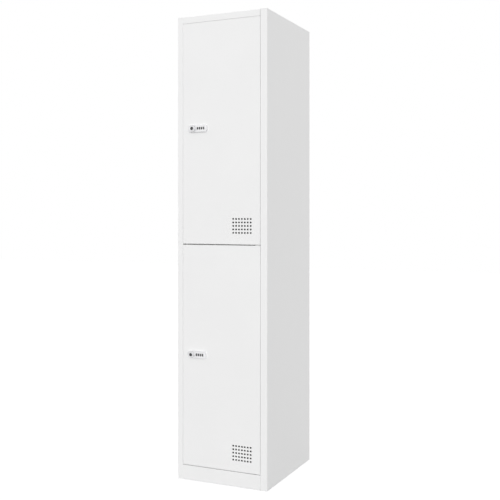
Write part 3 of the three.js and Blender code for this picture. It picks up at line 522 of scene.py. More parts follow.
# %% Sizes of the doors
DOOR_SHEET = 0.8 * MM
DOOR_BEND = 1.7 * MM
DOOR_LIP = 12.8 * MM
VENT_RADIUS = 3.6 * MM
VENT_PITCH = (12.2 * MM, 13.2 * MM)
VENT_COUNT = (7, 5)
VENT_FROM_HINGE_EDGE = 75 * MM
VENT_FROM_BOTTOM = 70.4 * MM
VENT_RIM = 0.22 * MM
PIN_HOLE_RADIUS = 2.7 * MM
PLAY = 0.3 * MM
BOSS_LEFT, BOSS_RIGHT, BOSS_HALF, BOSS_CORNER = 14 * MM, 56.85 * MM, 10.5 * MM, 3 * MM


def fold_steps(front, back):
    """Growth and depth along the fold: face, bend, side, bend, lip, and back along the inside."""
    inner = DOOR_BEND - DOOR_SHEET
    outside = rounding(DOOR_BEND, front, 1) + rounding(DOOR_BEND, back, -1)[::-1]
    lip = [(-DOOR_LIP, back), (-DOOR_LIP, back - DOOR_SHEET)]
    inside = rounding(inner, back - DOOR_SHEET, -1) + rounding(inner, front + DOOR_SHEET, 1)[::-1]
    return outside + lip + [(growth - DOOR_SHEET, place) for growth, place in inside]


def boss_outline(lock, clearance):
    """The part of the lock housing that passes through the door, with a clearance round it."""
    corner = BOSS_CORNER + clearance
    sides = (lock[0] - BOSS_LEFT - clearance, lock[0] + BOSS_RIGHT + clearance)
    ends = (lock[2] - BOSS_HALF - clearance, lock[2] + BOSS_HALF + clearance)
    return rounded(*sides, *ends, corner, corner)


print("steps of the fold:", len(fold_steps(0, 16 * MM)))

# %% Vent holes
def vent_centres(low, high):
    """Columns counted from the hinge edge and rows from the bottom edge of the door."""
    columns = (np.arange(VENT_COUNT[0]) - (VENT_COUNT[0] - 1) / 2) * VENT_PITCH[0]
    rows = (np.arange(VENT_COUNT[1]) - (VENT_COUNT[1] - 1) / 2) * VENT_PITCH[1]
    grid = np.stack(np.meshgrid(columns, rows), -1).reshape(-1, 2)
    return grid + [high[0] - VENT_FROM_HINGE_EDGE, low[2] + VENT_FROM_BOTTOM]


print("vent holes in each door:", len(vent_centres(*corners_of("upper_door_panel"))))

# %% Pin holes in the top and bottom sides
EDGE_OF_END = {"bottom": 0, "top": 2}


def drilled_sides(level, border, fold):
    """The fold, with the wide flat strips of its top and bottom filled anew round the pin holes."""
    points, quads = swept(border, Y_AXIS, fold)
    places = np.array(fold)[:, 1]
    strips = np.flatnonzero(np.abs(np.diff(places)) > 2 * PIN_HOLE_RADIUS)
    left_out = [row * len(border) + edge for row in strips for edge in EDGE_OF_END.values()]
    parts = [(points, np.delete(quads, left_out, axis=0))]
    outlines = [grown(border, fold[row][0]) for row in strips]
    for end, edge in EDGE_OF_END.items():
        hole = circle(*middle(f"{level}_door_{end}_bush")[:2], PIN_HOLE_RADIUS)
        heights = [outline[edge, 1] for outline in outlines]
        for row, outline, height in zip(strips, outlines, heights):
            strip = rectangle(outline[0, 0], outline[1, 0], *sorted(places[row:row + 2]))
            parts.append(flat([strip, hole], Z_AXIS, height))
        parts.append(swept(hole, Z_AXIS, [(0, height) for height in heights]))
    return parts


print("edges with pin holes:", list(EDGE_OF_END))

# %% Door skins
def door_skin(level):
    """The fold round four mitred corners, the face outside and inside, and the walls of its holes."""
    low, high = corners_of(f"{level}_door_panel")
    front, inside = low[1], low[1] + DOOR_SHEET
    border = rectangle(low[0], high[0], low[2], high[2])
    fold = fold_steps(front, high[1])
    parts = drilled_sides(level, border, fold)
    steps = mouth(VENT_RIM, front, 1) + [(0, inside), (VENT_RIM, inside)]
    holes = [circle(x, z, VENT_RADIUS, SMALL_SIDES) for x, z in vent_centres(low, high)]
    holes.append(boss_outline(middle(f"{level}_lock_key_plug"), PLAY))
    parts += [swept(hole, Y_AXIS, steps) for hole in holes]
    for row in (0, -1):
        (outer, _), (growth, place) = fold[row], steps[row]
        face = [grown(border, outer)] + [grown(hole, growth) for hole in holes]
        parts.append(flat(face, Y_AXIS, place))
    return piece(f"{level}_door_skin", parts, f"{level}_door", [f"{level}_door_panel"])


for level in LEVELS:
    report(door_skin(level))

# %% [markdown]
# ## Lock housings
# The housing is a die-cast plate with a rounded front edge. Four windows show the number dials, and a
# bore carries the knob's spindle. Behind the windows lies the pocket of the dials, and a boss passes
# through the cut-out of the door. Every one of these is a wall between two flat faces. A plate behind
# the door closes the lock and is held by two screws.

# %% Housings and back covers
HOUSING_CORNERS = (13 * MM, 7 * MM)
HOUSING_EDGE = 1.8 * MM
COVER_EDGE = 0.9 * MM
HOUSING_WALL = 1.2 * MM
WINDOW_HALF = (3 * MM, 4.99 * MM)
WINDOW_CORNER = 0.7 * MM
WINDOW_RIM = 0.35 * MM
POCKET_SIDE = 4.55 * MM
POCKET_HALF = 7 * MM
SPINDLE_BORE = 7.8 * MM
SCREW_BORE = 1.8 * MM
SCREW_BORE_DEPTH = 6.3 * MM
BORE_RIM = 0.3 * MM
WINDOW_STEPS, HOUSING_STEPS = 4, 8


def lock_layout(level):
    """Outlines of the lock in the plane of the door: bore, windows, dial pocket and screw holes."""
    x, _, z = middle(f"{level}_lock_key_plug")
    dials = [middle(f"{level}_lock_dial_{number}")[0] for number in DIALS]
    half_width, half_height = WINDOW_HALF
    bore = circle(x, z, SPINDLE_BORE, ROUND_SIDES)
    sides = [(dial - half_width, dial + half_width, z - half_height, z + half_height) for dial in dials]
    windows = [rounded(*side, WINDOW_CORNER, WINDOW_CORNER, WINDOW_STEPS) for side in sides]
    pocket = rectangle(dials[0] - POCKET_SIDE, dials[-1] + POCKET_SIDE, z - POCKET_HALF, z + POCKET_HALF)
    centres = [middle(f"{level}_lock_screw_{end}")[[0, 2]] for end in ("high", "low")]
    return bore, windows, pocket, [circle(*centre, SCREW_BORE, SMALL_SIDES) for centre in centres]


def lock_housing(level):
    """Rounded plate and boss with the bore, the windows, the pocket and two blind screw holes."""
    low, high = corners_of(f"{level}_lock_housing")
    front, back, seat = low[1], high[1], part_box(f"{level}_door_panel")[0][1]
    bore, windows, pocket, screws = lock_layout(level)
    plate = rounded(low[0], high[0], low[2], high[2], *HOUSING_CORNERS, PLATE_STEPS)
    boss = boss_outline(middle(f"{level}_lock_key_plug"), 0)
    edge = rounding(HOUSING_EDGE, front, 1, HOUSING_STEPS)
    bore_steps = mouth(BORE_RIM, front, 1) + [(0, back)]
    window_steps = mouth(WINDOW_RIM, front, 1) + [(0, front + HOUSING_WALL)]
    blind = seat - SCREW_BORE_DEPTH
    face = [grown(plate, edge[0][0]), grown(bore, bore_steps[0][0])]
    face += [grown(window, window_steps[0][0]) for window in windows]
    parts = [
        flat(face, Y_AXIS, front),
        swept(plate, Y_AXIS, edge + [(0, seat)]),
        flat([plate, boss], Y_AXIS, seat),
        swept(boss, Y_AXIS, [(0, seat), (0, back)]),
        flat([boss, bore, pocket] + screws, Y_AXIS, back),
        swept(bore, Y_AXIS, bore_steps),
        swept(pocket, Y_AXIS, [(0, back), (0, front + HOUSING_WALL)]),
        flat([pocket] + windows, Y_AXIS, front + HOUSING_WALL),
    ]
    parts += [swept(window, Y_AXIS, window_steps) for window in windows]
    for screw in screws:
        parts += [swept(screw, Y_AXIS, [(0, back), (0, blind)]), flat([screw], Y_AXIS, blind)]
    return piece(f"{level}_lock_case", parts, f"{level}_door", [f"{level}_lock_housing"])


def lock_cover(level):
    """Plate behind the door, with a rounded rear edge and a recess for the dials."""
    low, high = corners_of(f"{level}_lock_back_cover")
    front, back = low[1], high[1]
    bore, _, pocket, screws = lock_layout(level)
    plate = rounded(low[0], high[0], low[2], high[2], *HOUSING_CORNERS, PLATE_STEPS)
    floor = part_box(f"{level}_lock_dial_1")[1][1] + 2 * PLAY
    edge = rounding(COVER_EDGE, back, -1)[::-1]
    holes = [bore] + screws
    hole_steps = mouth(BORE_RIM, back, -1) + [(0, front)]
    rear = [grown(plate, edge[-1][0])] + [grown(hole, hole_steps[0][0]) for hole in holes]
    parts = [
        flat([plate, bore, pocket] + screws, Y_AXIS, front),
        swept(plate, Y_AXIS, [(0, front)] + edge),
        flat(rear, Y_AXIS, back),
        swept(pocket, Y_AXIS, [(0, front), (0, floor)]),
        flat([pocket], Y_AXIS, floor),
    ]
    parts += [swept(hole, Y_AXIS, hole_steps) for hole in holes]
    return piece(f"{level}_lock_cover", parts, f"{level}_door", [f"{level}_lock_back_cover"])


for level in LEVELS:
    report(lock_housing(level), lock_cover(level))

# %% [markdown]
# ## Knobs
# The knob is one casting: a head with sixteen scallops for the fingers, a dished face, a collar round
# the key plug, and behind it a spindle that ends in a square for the cam. All of its rings have the
# same number of points, so that a round ring can run into a scalloped one or a square one.

# %% Knobs
KNOB_SIDES = 192
KNOB_RADIUS = 12.8 * MM
KNOB_EDGE = 1.2 * MM
SCALLOPS = 16
SCALLOP_DEPTH = 0.65 * MM
DISH_RADIUS = 9.8 * MM
DISH_DEPTH = 0.8 * MM
COLLAR_RADIUS = 7.7 * MM
PLUG_BORE = 6.3 * MM
SPINDLE_RADIUS = 7.5 * MM
SQUARE_HALF = 4.5 * MM
CAM_SCREW_BORE = (2.8 * MM, 8 * MM)
CHAMFER = 0.3 * MM


def knob_profile(front, back, shoulder, bore_floor):
    """Radius, place and share of the scallops, from the floor of the plug's bore back to the shoulder."""
    floor, c = front + DISH_DEPTH, CHAMFER
    rim = KNOB_RADIUS - KNOB_EDGE - MARGIN
    collar = [(0, bore_floor), (PLUG_BORE, bore_floor), (PLUG_BORE, front + c), (PLUG_BORE + c, front),
              (COLLAR_RADIUS - c, front), (COLLAR_RADIUS, front + c), (COLLAR_RADIUS, floor - c)]
    dish = [(COLLAR_RADIUS + c, floor), (DISH_RADIUS - 3 * c, floor), (DISH_RADIUS - 2 * c, floor - c / 3),
            (DISH_RADIUS, front + c / 3), (DISH_RADIUS + c, front), (rim, front)]
    edge = [(KNOB_RADIUS + inset, place) for inset, place in rounding(KNOB_EDGE, front, 1)[1:]]
    rear = [(KNOB_RADIUS, back - c), (KNOB_RADIUS - c, back), (KNOB_RADIUS - 4 * c, back)]
    spindle = [(SPINDLE_RADIUS, back), (SPINDLE_RADIUS, shoulder - c), (SPINDLE_RADIUS - c, shoulder)]
    rings = np.array(collar + dish + edge + rear + spindle)
    return *rings.T, np.interp(rings[:, 0], [rim, KNOB_RADIUS], [0, 1])


def knob(level):
    """Scalloped radius r - share * d * ((1 - cos 16a) / 2)^2, then the square h / max(|cos a|, |sin a|)."""
    low, high = corners_of(f"{level}_lock_knob")
    centre = middle(f"{level}_lock_key_plug")
    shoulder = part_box(f"{level}_lock_cam")[0][1] - PLAY
    bore_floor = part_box(f"{level}_lock_key_plug")[1][1] + PLAY
    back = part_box(f"{level}_lock_housing")[0][1] - PLAY
    radius, place, share = knob_profile(low[1], back, shoulder, bore_floor)
    angle = np.arange(KNOB_SIDES) * (2 * math.pi / KNOB_SIDES)
    dip = SCALLOP_DEPTH * ((1 - np.cos(SCALLOPS * angle)) / 2) ** 2
    head = radius[:, None] - share[:, None] * dip
    square = SQUARE_HALF / np.maximum(np.abs(np.cos(angle)), np.abs(np.sin(angle)))
    end, bore, depth = high[1], *CAM_SCREW_BORE
    tail = [square, square, square - CHAMFER]
    tail += [np.full(KNOB_SIDES, r) for r in (bore + CHAMFER, bore, bore, 0)]
    tail_places = [shoulder, end - CHAMFER, end, end, end - CHAMFER, end - depth, end - depth]
    rows = revolved(np.vstack([head, tail]), np.concatenate([place, tail_places]), centre, Y_AXIS)
    name, node = f"{level}_lock_handle", f"{level}_lock_knob"
    return piece(name, [rows], f"{level}_knob", [node], finish=darker_satin_chrome)


for level in LEVELS:
    report(knob(level))

# %% [markdown]
# ## Key plugs
# A master key fits the middle of the knob. The plug is a blackened disc with a keyway whose sides
# step in, so that only a key with the matching grooves goes in.

# %% Key plugs
PLUG_RADIUS = 6 * MM
PLUG_EDGE = 0.4 * MM
KEYWAY_DEPTH = 5 * MM
KEYWAY_RIM = 0.12 * MM
PLUG_STEPS = 4
KEYWAY = np.array([
    [-0.7, -3.4], [0.7, -3.4], [0.7, -1.3], [0.3, -0.8], [0.3, 0.5], [0.7, 1.0],
    [0.7, 3.4], [-0.7, 3.4], [-0.7, 2.3], [-0.45, 2.0], [-0.45, 1.2], [-0.7, 0.9],
]) * MM


def key_plug(level):
    """A disc with a rounded front edge and a blind keyway."""
    low, high = corners_of(f"{level}_lock_key_plug")
    centre = middle(f"{level}_lock_key_plug")
    disc = circle(centre[0], centre[2], PLUG_RADIUS, ROUND_SIDES)
    keyway = KEYWAY + centre[[0, 2]]
    edge = rounding(PLUG_EDGE, low[1], 1, PLUG_STEPS, PLUG_EDGE)
    floor = low[1] + KEYWAY_DEPTH
    steps = [(KEYWAY_RIM, low[1]), (0, low[1] + KEYWAY_RIM), (0, floor)]
    parts = [
        flat([grown(disc, edge[0][0]), grown(keyway, KEYWAY_RIM)], Y_AXIS, low[1]),
        swept(disc, Y_AXIS, edge + [(0, high[1])]),
        flat([disc], Y_AXIS, high[1]),
        swept(keyway, Y_AXIS, steps),
        flat([keyway], Y_AXIS, floor),
    ]
    return piece(f"{level}_lock_plug", parts, f"{level}_key_plug", [f"{level}_lock_key_plug"])


for level in LEVELS:
    report(key_plug(level))

# %% [markdown]
# ## Number dials
# Each wheel has ten flats with a figure on each, and a soft notch between two flats for the finger.
# Across a flat the radius is f / cos a; from its end to the notch the radius falls along half a wave.
# The wheel is a closed ring: down the hub, over the rim and back through the bore of the axle.

# %% Dial wheels
DIAL_SIDES = 180
FIGURES = 10
FLAT_DISTANCE = 6.42 * MM
FLAT_HALF_ANGLE = math.radians(12)
NOTCH_DEPTH = 0.55 * MM
RIM_HALF = 2.7 * MM
HUB = (3.4 * MM, 4.25 * MM)
AXLE_BORE = 1.8 * MM
DIAL_EDGE = 0.3 * MM
RIM_EASE = 0.3 * DIAL_EDGE


def rim_radius():
    """The radius of the notched rim at equal angles, with a flat facing the front."""
    pitch = 2 * math.pi / FIGURES
    angle = np.arange(DIAL_SIDES) * (2 * math.pi / DIAL_SIDES)
    from_flat = np.abs((angle + pitch / 2) % pitch - pitch / 2)
    past = np.clip((from_flat - FLAT_HALF_ANGLE) / (pitch / 2 - FLAT_HALF_ANGLE), 0, 1)
    flats = FLAT_DISTANCE / np.cos(np.minimum(from_flat, FLAT_HALF_ANGLE))
    return flats - NOTCH_DEPTH * (1 - np.cos(math.pi * past)) / 2


def dial(level, number):
    """Rings from the bore out to the rim and back to the bore."""
    name = f"{level}_lock_dial_{number}"
    centre = middle(name)
    rim = rim_radius()
    hub, hub_half = HUB
    half = [(AXLE_BORE, hub_half - DIAL_EDGE), (AXLE_BORE + DIAL_EDGE, hub_half),
            (hub - DIAL_EDGE, hub_half), (hub, hub_half - DIAL_EDGE),
            (hub, RIM_HALF + DIAL_EDGE), (hub + DIAL_EDGE, RIM_HALF)]
    rings = [(np.full(DIAL_SIDES, radius), along) for radius, along in half]
    rings += [(rim - 3 * DIAL_EDGE, RIM_HALF), (rim - DIAL_EDGE, RIM_HALF),
              (rim - RIM_EASE, RIM_HALF - RIM_EASE), (rim, RIM_HALF - DIAL_EDGE)]
    rings += [(radius, -along) for radius, along in rings[::-1]] + rings[:1]
    radii, along = zip(*rings)
    rows = revolved(np.array(radii), np.array(along) + centre[0], centre, X_AXIS)
    return piece(f"{level}_number_dial_{number}", [rows], f"{level}_dial_{number}", [name])


for level in LEVELS:
    report(*(dial(level, number) for number in DIALS))

# %% [markdown]
# ## Figures
# The figures 0 to 9 are taken from the built-in typeface as meshes, brought to one height, and laid
# on the flats: left to right along the axle, up along the flat, and thickness along its normal. They
# stand a few hundredths of a millimetre proud, as printed figures do.

# %% Figures on the dials
FIGURE_HEIGHT = 2.3 * MM
FIGURE_PROUD = 0.03 * MM
FIGURE_CURVE_STEPS = 4
FACING = {"lower": (4, 0, 7, 2), "upper": (1, 8, 3, 6)}


def figure_mesh(text):
    """Points and triangles of one figure, one unit high and thick, about its own middle."""
    curve = bpy.data.curves.new("figure", "FONT")
    curve.body = text
    curve.resolution_u = FIGURE_CURVE_STEPS
    curve.extrude = 0.5
    holder = in_scene("figure", curve)
    mesh = bpy.data.meshes.new_from_object(holder.evaluated_get(bpy.context.evaluated_depsgraph_get()))
    mesh.calc_loop_triangles()
    points = np.empty(len(mesh.vertices) * 3)
    mesh.vertices.foreach_get("co", points)
    triangles = np.empty(len(mesh.loop_triangles) * 3, int)
    mesh.loop_triangles.foreach_get("vertices", triangles)
    for block, item in ((bpy.data.objects, holder), (bpy.data.curves, curve), (bpy.data.meshes, mesh)):
        block.remove(item)
    points = points.reshape(-1, 3)
    low, high = points.min(axis=0), points.max(axis=0)
    points[:, :2] = (points - (low + high) / 2)[:, :2] / (high[1] - low[1])
    return points, triangles.reshape(-1, 3)


figures = [figure_mesh(str(number)) for number in range(FIGURES)]


def dial_figures(level, number):
    """Turn the flat's normal (0, -cos a, -sin a) and its up (0, -sin a, cos a) with the wheel."""
    centre = middle(f"{level}_lock_dial_{number}")
    parts = []
    for step in range(FIGURES):
        points, triangles = figures[(FACING[level][number - 1] + step) % FIGURES]
        turn = 2 * math.pi * step / FIGURES
        out = np.array([0, -math.cos(turn), -math.sin(turn)])
        up = np.array([0, -math.sin(turn), math.cos(turn)])
        right = np.array([1.0, 0, 0])
        across, along, above = (points * [FIGURE_HEIGHT, FIGURE_HEIGHT, 2 * FIGURE_PROUD]).T[..., None]
        parts.append((centre + across * right + along * up + (FLAT_DISTANCE + above) * out, triangles))
    name = f"{level}_dial_figures_{number}"
    return piece(name, parts, f"{level}_dial_{number}", slot="dial_plastic", finish=figure_white)


for level in LEVELS:
    report(*(dial_figures(level, number) for number in DIALS))

# %% [markdown]
# ## Cams and screws
# Inside the door, a flat cam on the square of the spindle hangs down, and locks when it is turned
# behind the post. It is stamped from plate, so its edges are only slightly round. The screws have
# domed heads with a cross recess, whose walls lean inwards towards its floor.

# %% Cams
CAM_WIDTH_HALF = 8 * MM
CAM_HUB_RADIUS = 10 * MM
CAM_TIP_RADIUS = 5 * MM
CAM_EDGE = 0.35 * MM
CAM_HOLE_HALF = 4.8 * MM
HUB_STEPS, TIP_STEPS, CAM_EDGE_STEPS = 40, 8, 3


def arc(across, along, radius, start, end, steps):
    """Points of a circle from one angle to another, in degrees."""
    angle = np.radians(np.linspace(start, end, steps + 1))
    return np.stack([across + radius * np.cos(angle), along + radius * np.sin(angle)], -1)


def cam(level):
    """A round hub that runs into a straight arm with round corners, and a square hole."""
    low, high = corners_of(f"{level}_lock_cam")
    x, _, z = middle(f"{level}_lock_key_plug")
    meet = math.degrees(math.asin(CAM_WIDTH_HALF / CAM_HUB_RADIUS))
    tip_x, tip_z = CAM_WIDTH_HALF - CAM_TIP_RADIUS, low[2] + CAM_TIP_RADIUS
    outline = np.concatenate([
        arc(x, z, CAM_HUB_RADIUS, meet - 90, 270 - meet, HUB_STEPS),
        arc(x - tip_x, tip_z, CAM_TIP_RADIUS, 180, 270, TIP_STEPS),
        arc(x + tip_x, tip_z, CAM_TIP_RADIUS, 270, 360, TIP_STEPS),
    ])
    hole = rectangle(x - CAM_HOLE_HALF, x + CAM_HOLE_HALF, z - CAM_HOLE_HALF, z + CAM_HOLE_HALF)
    front = rounding(CAM_EDGE, low[1], 1, CAM_EDGE_STEPS)
    back = rounding(CAM_EDGE, high[1], -1, CAM_EDGE_STEPS)[::-1]
    parts = [swept(outline, Y_AXIS, front + back), swept(hole, Y_AXIS, [(0, low[1]), (0, high[1])])]
    parts += [flat([grown(outline, front[0][0]), hole], Y_AXIS, place) for place in (low[1], high[1])]
    return piece(f"{level}_locking_cam", parts, f"{level}_knob", [f"{level}_lock_cam"])


for level in LEVELS:
    report(cam(level))

# %% Screws
DOME_SHARES = ((1.0, 0.0), (1.0, 0.38), (0.97, 0.55), (0.9, 0.73), (0.8, 0.88), (0.7, 0.96), (0.6, 1.0))
RECESS_REACH, RECESS_HALF, RECESS_DEPTH, RECESS_LEAN = 0.5, 0.12, 0.6, 0.05
TIP_WIDTH, TIP_LENGTH = 0.6, 0.5


def cross_outline(across, along, reach, half):
    """A plus sign with twelve corners."""
    quarter = np.array([[reach, -half], [reach, half], [half, half]])
    turn = np.array([[0, 1], [-1, 0]])
    arms = [quarter, quarter @ turn, quarter @ turn @ turn, quarter @ turn @ turn @ turn]
    return np.concatenate(arms) + [across, along]


def screw_parts(centre, axis, seat, towards, head, height, shank, length):
    """A domed head that stands on its seat about an axis, and a shank that reaches the other way."""
    tip = [(0, -length), (shank * TIP_WIDTH, -length), (shank, -length + shank * TIP_LENGTH), (shank, 0)]
    dome = [(head * wide, height * tall) for wide, tall in DOME_SHARES]
    profile = [(radius, seat + towards * along) for radius, along in tip + dome]
    across, along = (place for place in range(3) if place != axis)
    cross = cross_outline(centre[across], centre[along], head * RECESS_REACH, head * RECESS_HALF)
    top, floor = seat + towards * height, seat + towards * height * (1 - RECESS_DEPTH)
    lean = -head * RECESS_LEAN
    skin = turned(profile, centre, axis)
    rim = skin[0][-TURNED_SIDES:, [across, along]]
    return [
        skin,
        flat([rim, cross], axis, top),
        swept(cross, axis, [(0, top), (lean, floor)]),
        flat([grown(cross, lean)], axis, floor),
    ]


LOCK_SCREW = (3 * MM, 1.8 * MM, 1.5 * MM)
CAM_SCREW = (5.5 * MM, 3 * MM, 2.5 * MM)


def lock_screw(name, node, body, kind):
    """A screw whose head is at its back end."""
    low, high = corners_of(node)
    head, height, shank = kind
    seat = high[1] - height
    parts = screw_parts(middle(node), Y_AXIS, seat, 1, head, height, shank, seat - low[1])
    return piece(name, parts, body, [node])


for level in LEVELS:
    for end in ("high", "low"):
        name, node = f"{level}_cover_screw_{end}", f"{level}_lock_screw_{end}"
        report(lock_screw(name, node, f"{level}_door", LOCK_SCREW))
    name, node = f"{level}_cam_fixing_screw", f"{level}_lock_cam_screw"
    report(lock_screw(name, node, f"{level}_knob", CAM_SCREW))

# %% [markdown]
# ## Coat rails
# Each compartment has a round tube for hangers, held at both ends by a cup on a round flange. Two
# small screws hold each flange on the side wall.

# %% Coat rails and their sockets
RAIL_RADIUS, RAIL_WALL = 9.5 * MM, 1 * MM
CUP_BORE, CUP_RADIUS = 9.8 * MM, 12.3 * MM
FLANGE_RADIUS, FLANGE_THICKNESS = 19 * MM, 2.5 * MM
FLANGE_SCREW = (2.4 * MM, 1.1 * MM, 1.4 * MM, 2 * MM)
FLANGE_SCREW_RADIUS = 15.6 * MM
RAIL_EASE, SOCKET_EASE = 0.3 * MM, 0.8 * MM


def coat_rail(level):
    """A tube: outer and inner profile in one closed ring, with its ends slightly eased."""
    name = f"{level}_coat_rail"
    low, high = corners_of(name)
    outer, inner = RAIL_RADIUS, RAIL_RADIUS - RAIL_WALL
    loop = [(outer, 0), (outer, high[0]), (inner, high[0]), (inner, low[0]), (outer, low[0]), (outer, 0)]
    rows = turned(eased(loop, RAIL_EASE), middle(name), X_AXIS, ROUND_SIDES)
    return piece(f"{level}_hanging_rail", [rows], "carcass", [name])


def rail_socket(level, side, inward):
    """Flange on the wall, cup for the rail, and the rounded root between them."""
    name = f"{level}_{side}_rail_socket"
    low, high = corners_of(name)
    wall_face, mouth_end = (low[0], high[0]) if inward > 0 else (high[0], low[0])
    flange = wall_face + inward * FLANGE_THICKNESS
    centre = middle(name)
    profile = [(0, wall_face), (FLANGE_RADIUS, wall_face), (FLANGE_RADIUS, flange), (CUP_RADIUS, flange),
               (CUP_RADIUS, mouth_end), (CUP_BORE, mouth_end), (CUP_BORE, flange), (0, flange)]
    rows = turned(eased(profile, SOCKET_EASE), centre, X_AXIS, ROUND_SIDES)
    piece(f"{level}_{side}_rail_cup", [rows], "carcass", [name])
    parts = []
    for offset in (-FLANGE_SCREW_RADIUS, FLANGE_SCREW_RADIUS):
        parts += screw_parts(centre + [0, 0, offset], X_AXIS, flange, inward, *FLANGE_SCREW)
    return piece(f"{level}_{side}_rail_screws", parts, "carcass", slot="zinc_steel")


for level in LEVELS:
    coat_rail(level)
    for side, inward in (("left", 1), ("right", -1)):
        rail_socket(level, side, inward)
print("open edges:", sum(made.values()))

# %% [markdown]
# ## Hinges and buffers
# The doors turn on steel pins in nylon bushes, at the top, in the middle and at the bottom of the
# hinge side. Rubber buffers on the other side stop them quietly. All of these are turned shapes.

# %% Pins, bushes and buffers
PIN_RADIUS, PIN_HEAD_RADIUS, PIN_HEAD_HEIGHT, PIN_CHAMFER = 2.5 * MM, 3.9 * MM, 2 * MM, 0.6 * MM
PLINTH_SHEET = 0.7 * MM
BUSH_BORE, BUSH_RADIUS, COLLAR = 2.8 * MM, 3.8 * MM, (4.6 * MM, 0.45 * MM)
BUFFER_RADIUS, BUFFER_DROP = 4.5 * MM, 0.1 * MM
CROWN_HEIGHT, CROWN_WIDTH, TOP_WIDTH = 0.45, 0.95, 0.55
PIN_EASE, BUSH_EASE, BUFFER_EASE = 0.25 * MM, 0.12 * MM, 1 * MM


def turned_piece(name, node, profile, axis, body, ease):
    """A turned piece about the middle of its node."""
    return piece(name, [turned(eased(profile, ease), middle(node), axis)], body, [node])


def pin_collar(low, high):
    """Between two heights the pin has the radius of its head."""
    return [(PIN_RADIUS, low), (PIN_HEAD_RADIUS, low), (PIN_HEAD_RADIUS, high), (PIN_RADIUS, high)]


def hinge_pin(node, name, head_at):
    """A pin with chamfered ends or a head; the bottom pin has a second collar, which carries the door."""
    bottom, top = (corner[2] for corner in corners_of(node))
    foot = [(PIN_RADIUS - PIN_CHAMFER, bottom), (PIN_RADIUS, bottom + PIN_CHAMFER)]
    head = [(PIN_RADIUS, top - PIN_CHAMFER), (PIN_RADIUS - PIN_CHAMFER, top)]
    if head_at == "top":
        head = pin_collar(top - PIN_HEAD_HEIGHT, top)[:3]
    if head_at == "bottom":
        under_plinth = bottom + PIN_HEAD_HEIGHT
        on_plinth = under_plinth + PLINTH_SHEET + 2 * PLAY
        under_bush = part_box("lower_door_bottom_bush")[0][2] - PLAY
        foot = pin_collar(bottom, under_plinth)[1:] + pin_collar(on_plinth, under_bush)
    return turned_piece(name, node, [(0, bottom), *foot, *head, (0, top)], Z_AXIS, "carcass", PIN_EASE)


def bush(level, end):
    """A sleeve in the fold of the door with a thin collar outside; under the header it ends flush."""
    node = f"{level}_door_{end}_bush"
    low, high = (corner[2] for corner in corners_of(node))
    outside, inside, inward = (low, high, 1) if end == "bottom" else (high, low, -1)
    radius, thickness = COLLAR
    collar = outside + inward * thickness
    profile = [(BUSH_BORE, collar), (BUSH_BORE, outside), (radius, outside), (radius, collar),
               (BUSH_RADIUS, collar), (BUSH_RADIUS, inside), (BUSH_BORE, inside), (BUSH_BORE, collar)]
    if (level, end) == ("upper", "top"):
        profile[2:5] = [(BUSH_RADIUS, outside)]
    return turned_piece(f"{level}_{end}_hinge_bush", node, profile, Z_AXIS, f"{level}_door", BUSH_EASE)


def buffer(level, end):
    """A rubber stud with a crowned face towards the door."""
    node = f"{level}_{end}_buffer"
    low, high = (corner[1] for corner in corners_of(node))
    crown = low + (high - low) * CROWN_HEIGHT
    profile = [(0, low), (BUFFER_RADIUS * TOP_WIDTH, low + BUFFER_DROP),
               (BUFFER_RADIUS * CROWN_WIDTH, crown), (BUFFER_RADIUS, high), (0, high)]
    return turned_piece(f"{level}_{end}_rubber_stud", node, profile, Y_AXIS, "carcass", BUFFER_EASE)


hinge_pin("top_hinge_pin", "top_pivot_pin", "top")
hinge_pin("middle_hinge_pin", "middle_pivot_pin", "none")
hinge_pin("bottom_hinge_pin", "bottom_pivot_pin", "bottom")
for level in LEVELS:
    for end in ("top", "bottom"):
        bush(level, end)
    for end in ("high", "low"):
        buffer(level, end)
print("new pieces:", len(made), "open edges:", {name: count for name, count in made.items() if count})

# %% [markdown]
# ## The studio
# The photograph shows the locker on plain white, lit softly from the front with the side a little
# darker. The floor and the surroundings are white to the camera and to reflections, but they light
# the locker only at a plain level, so the coat keeps its own colour. A wide key lamp stands in front
# on the right, and a weaker one behind on the left keeps that side apart from the back.

# %% Floor and surroundings
FLOOR_HALF = 12.0
FLOOR_TONE = 0.5
MOTTLE, MOTTLE_SCALE = 0.01, 0.5
FLOOR_GLOW = 0.80
FLOOR_PAPER = 0.28
WORLD_LEVEL = 0.77


def seen_directly(tree):
    """1 where the camera, a reflection or clear glass looks, 0 for the rays that carry light."""
    rays = tree.nodes.new("ShaderNodeLightPath").outputs
    seen = reckon(tree, "MAXIMUM", rays["Is Camera Ray"], rays["Is Glossy Ray"])
    return reckon(tree, "MAXIMUM", seen, rays["Is Transmission Ray"])


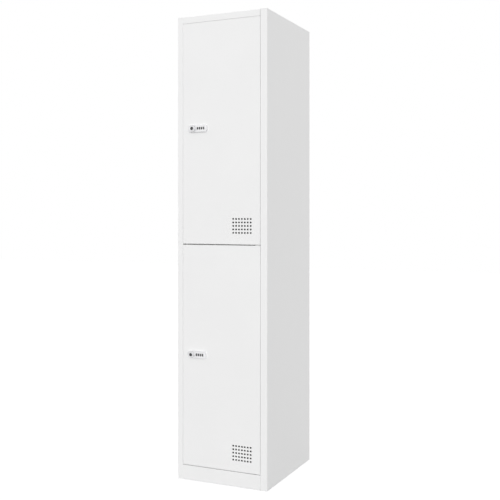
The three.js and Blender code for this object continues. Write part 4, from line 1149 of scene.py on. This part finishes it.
def studio_floor():
    """A wide flat square at height zero, white where it is seen, with the locker's faint shadow."""
    border = rectangle(-FLOOR_HALF, FLOOR_HALF, -FLOOR_HALF, FLOOR_HALF)
    mesh = bpy.data.meshes.new("studio_floor")
    mesh.from_pydata(np.insert(border, Z_AXIS, 0, axis=1).tolist(), [], [[0, 1, 2, 3]])
    floor = in_scene("studio_floor", mesh)
    material, tree, shader, place = new_material("studio_floor_white")
    shader.inputs["Roughness"].default_value = 1.0
    shader.inputs["Specular IOR Level"].default_value = 0.0
    tones = [[FLOOR_TONE + change] * 3 for change in (-MOTTLE, MOTTLE)]
    mottle = noise(tree, place, MOTTLE_SCALE, detail=1.0)
    tree.links.new(tint(tree, mottle, *tones), shader.inputs["Base Color"])
    glow = tree.nodes.new("ShaderNodeEmission")
    glow.inputs["Strength"].default_value = FLOOR_GLOW
    paper = tree.nodes.new("ShaderNodeBsdfDiffuse")
    paper.inputs["Color"].default_value = (FLOOR_PAPER, FLOOR_PAPER, FLOOR_PAPER, 1)
    white = tree.nodes.new("ShaderNodeAddShader")
    tree.links.new(paper.outputs["BSDF"], white.inputs[0])
    tree.links.new(glow.outputs["Emission"], white.inputs[1])
    either = tree.nodes.new("ShaderNodeMixShader")
    tree.links.new(seen_directly(tree), either.inputs["Fac"])
    tree.links.new(shader.outputs["BSDF"], either.inputs[1])
    tree.links.new(white.outputs["Shader"], either.inputs[2])
    tree.links.new(either.outputs["Shader"], tree.nodes["Material Output"].inputs["Surface"])
    mesh.materials.append(material)


def studio_world(level):
    """White where it is seen; a plain grey level as light."""
    world = bpy.data.worlds.new("studio")
    bpy.context.scene.world = world
    world.use_nodes = True
    tree = world.node_tree
    background = tree.nodes["Background"]
    background.inputs["Color"].default_value = (1, 1, 1, 1)
    tree.links.new(spread(tree, seen_directly(tree), 0.0, 1.0, level, 1.0), background.inputs["Strength"])


studio_floor()
studio_world(WORLD_LEVEL)
print("floor is", 2 * FLOOR_HALF, "m wide")

# %% Lamps
KEY_TOWARDS, KEY_WIDTH, KEY_STRENGTH = (0.36, -0.86, 0.24), 30, 1.25
FILL_TOWARDS, FILL_WIDTH, FILL_STRENGTH = (-0.85, 0.35, 0.35), 60, 0.5


def soft_sun(name, towards, width, strength):
    """A wide, soft sun that shines from the given direction."""
    light = bpy.data.lights.new(name, "SUN")
    light.energy = strength
    light.angle = math.radians(width)
    lamp = in_scene(name, light)
    east, north, up = towards
    lamp.rotation_euler = (math.atan2(math.hypot(east, north), up), 0, math.atan2(east, -north))


soft_sun("key_lamp", KEY_TOWARDS, KEY_WIDTH, KEY_STRENGTH)
soft_sun("fill_lamp", FILL_TOWARDS, FILL_WIDTH, FILL_STRENGTH)
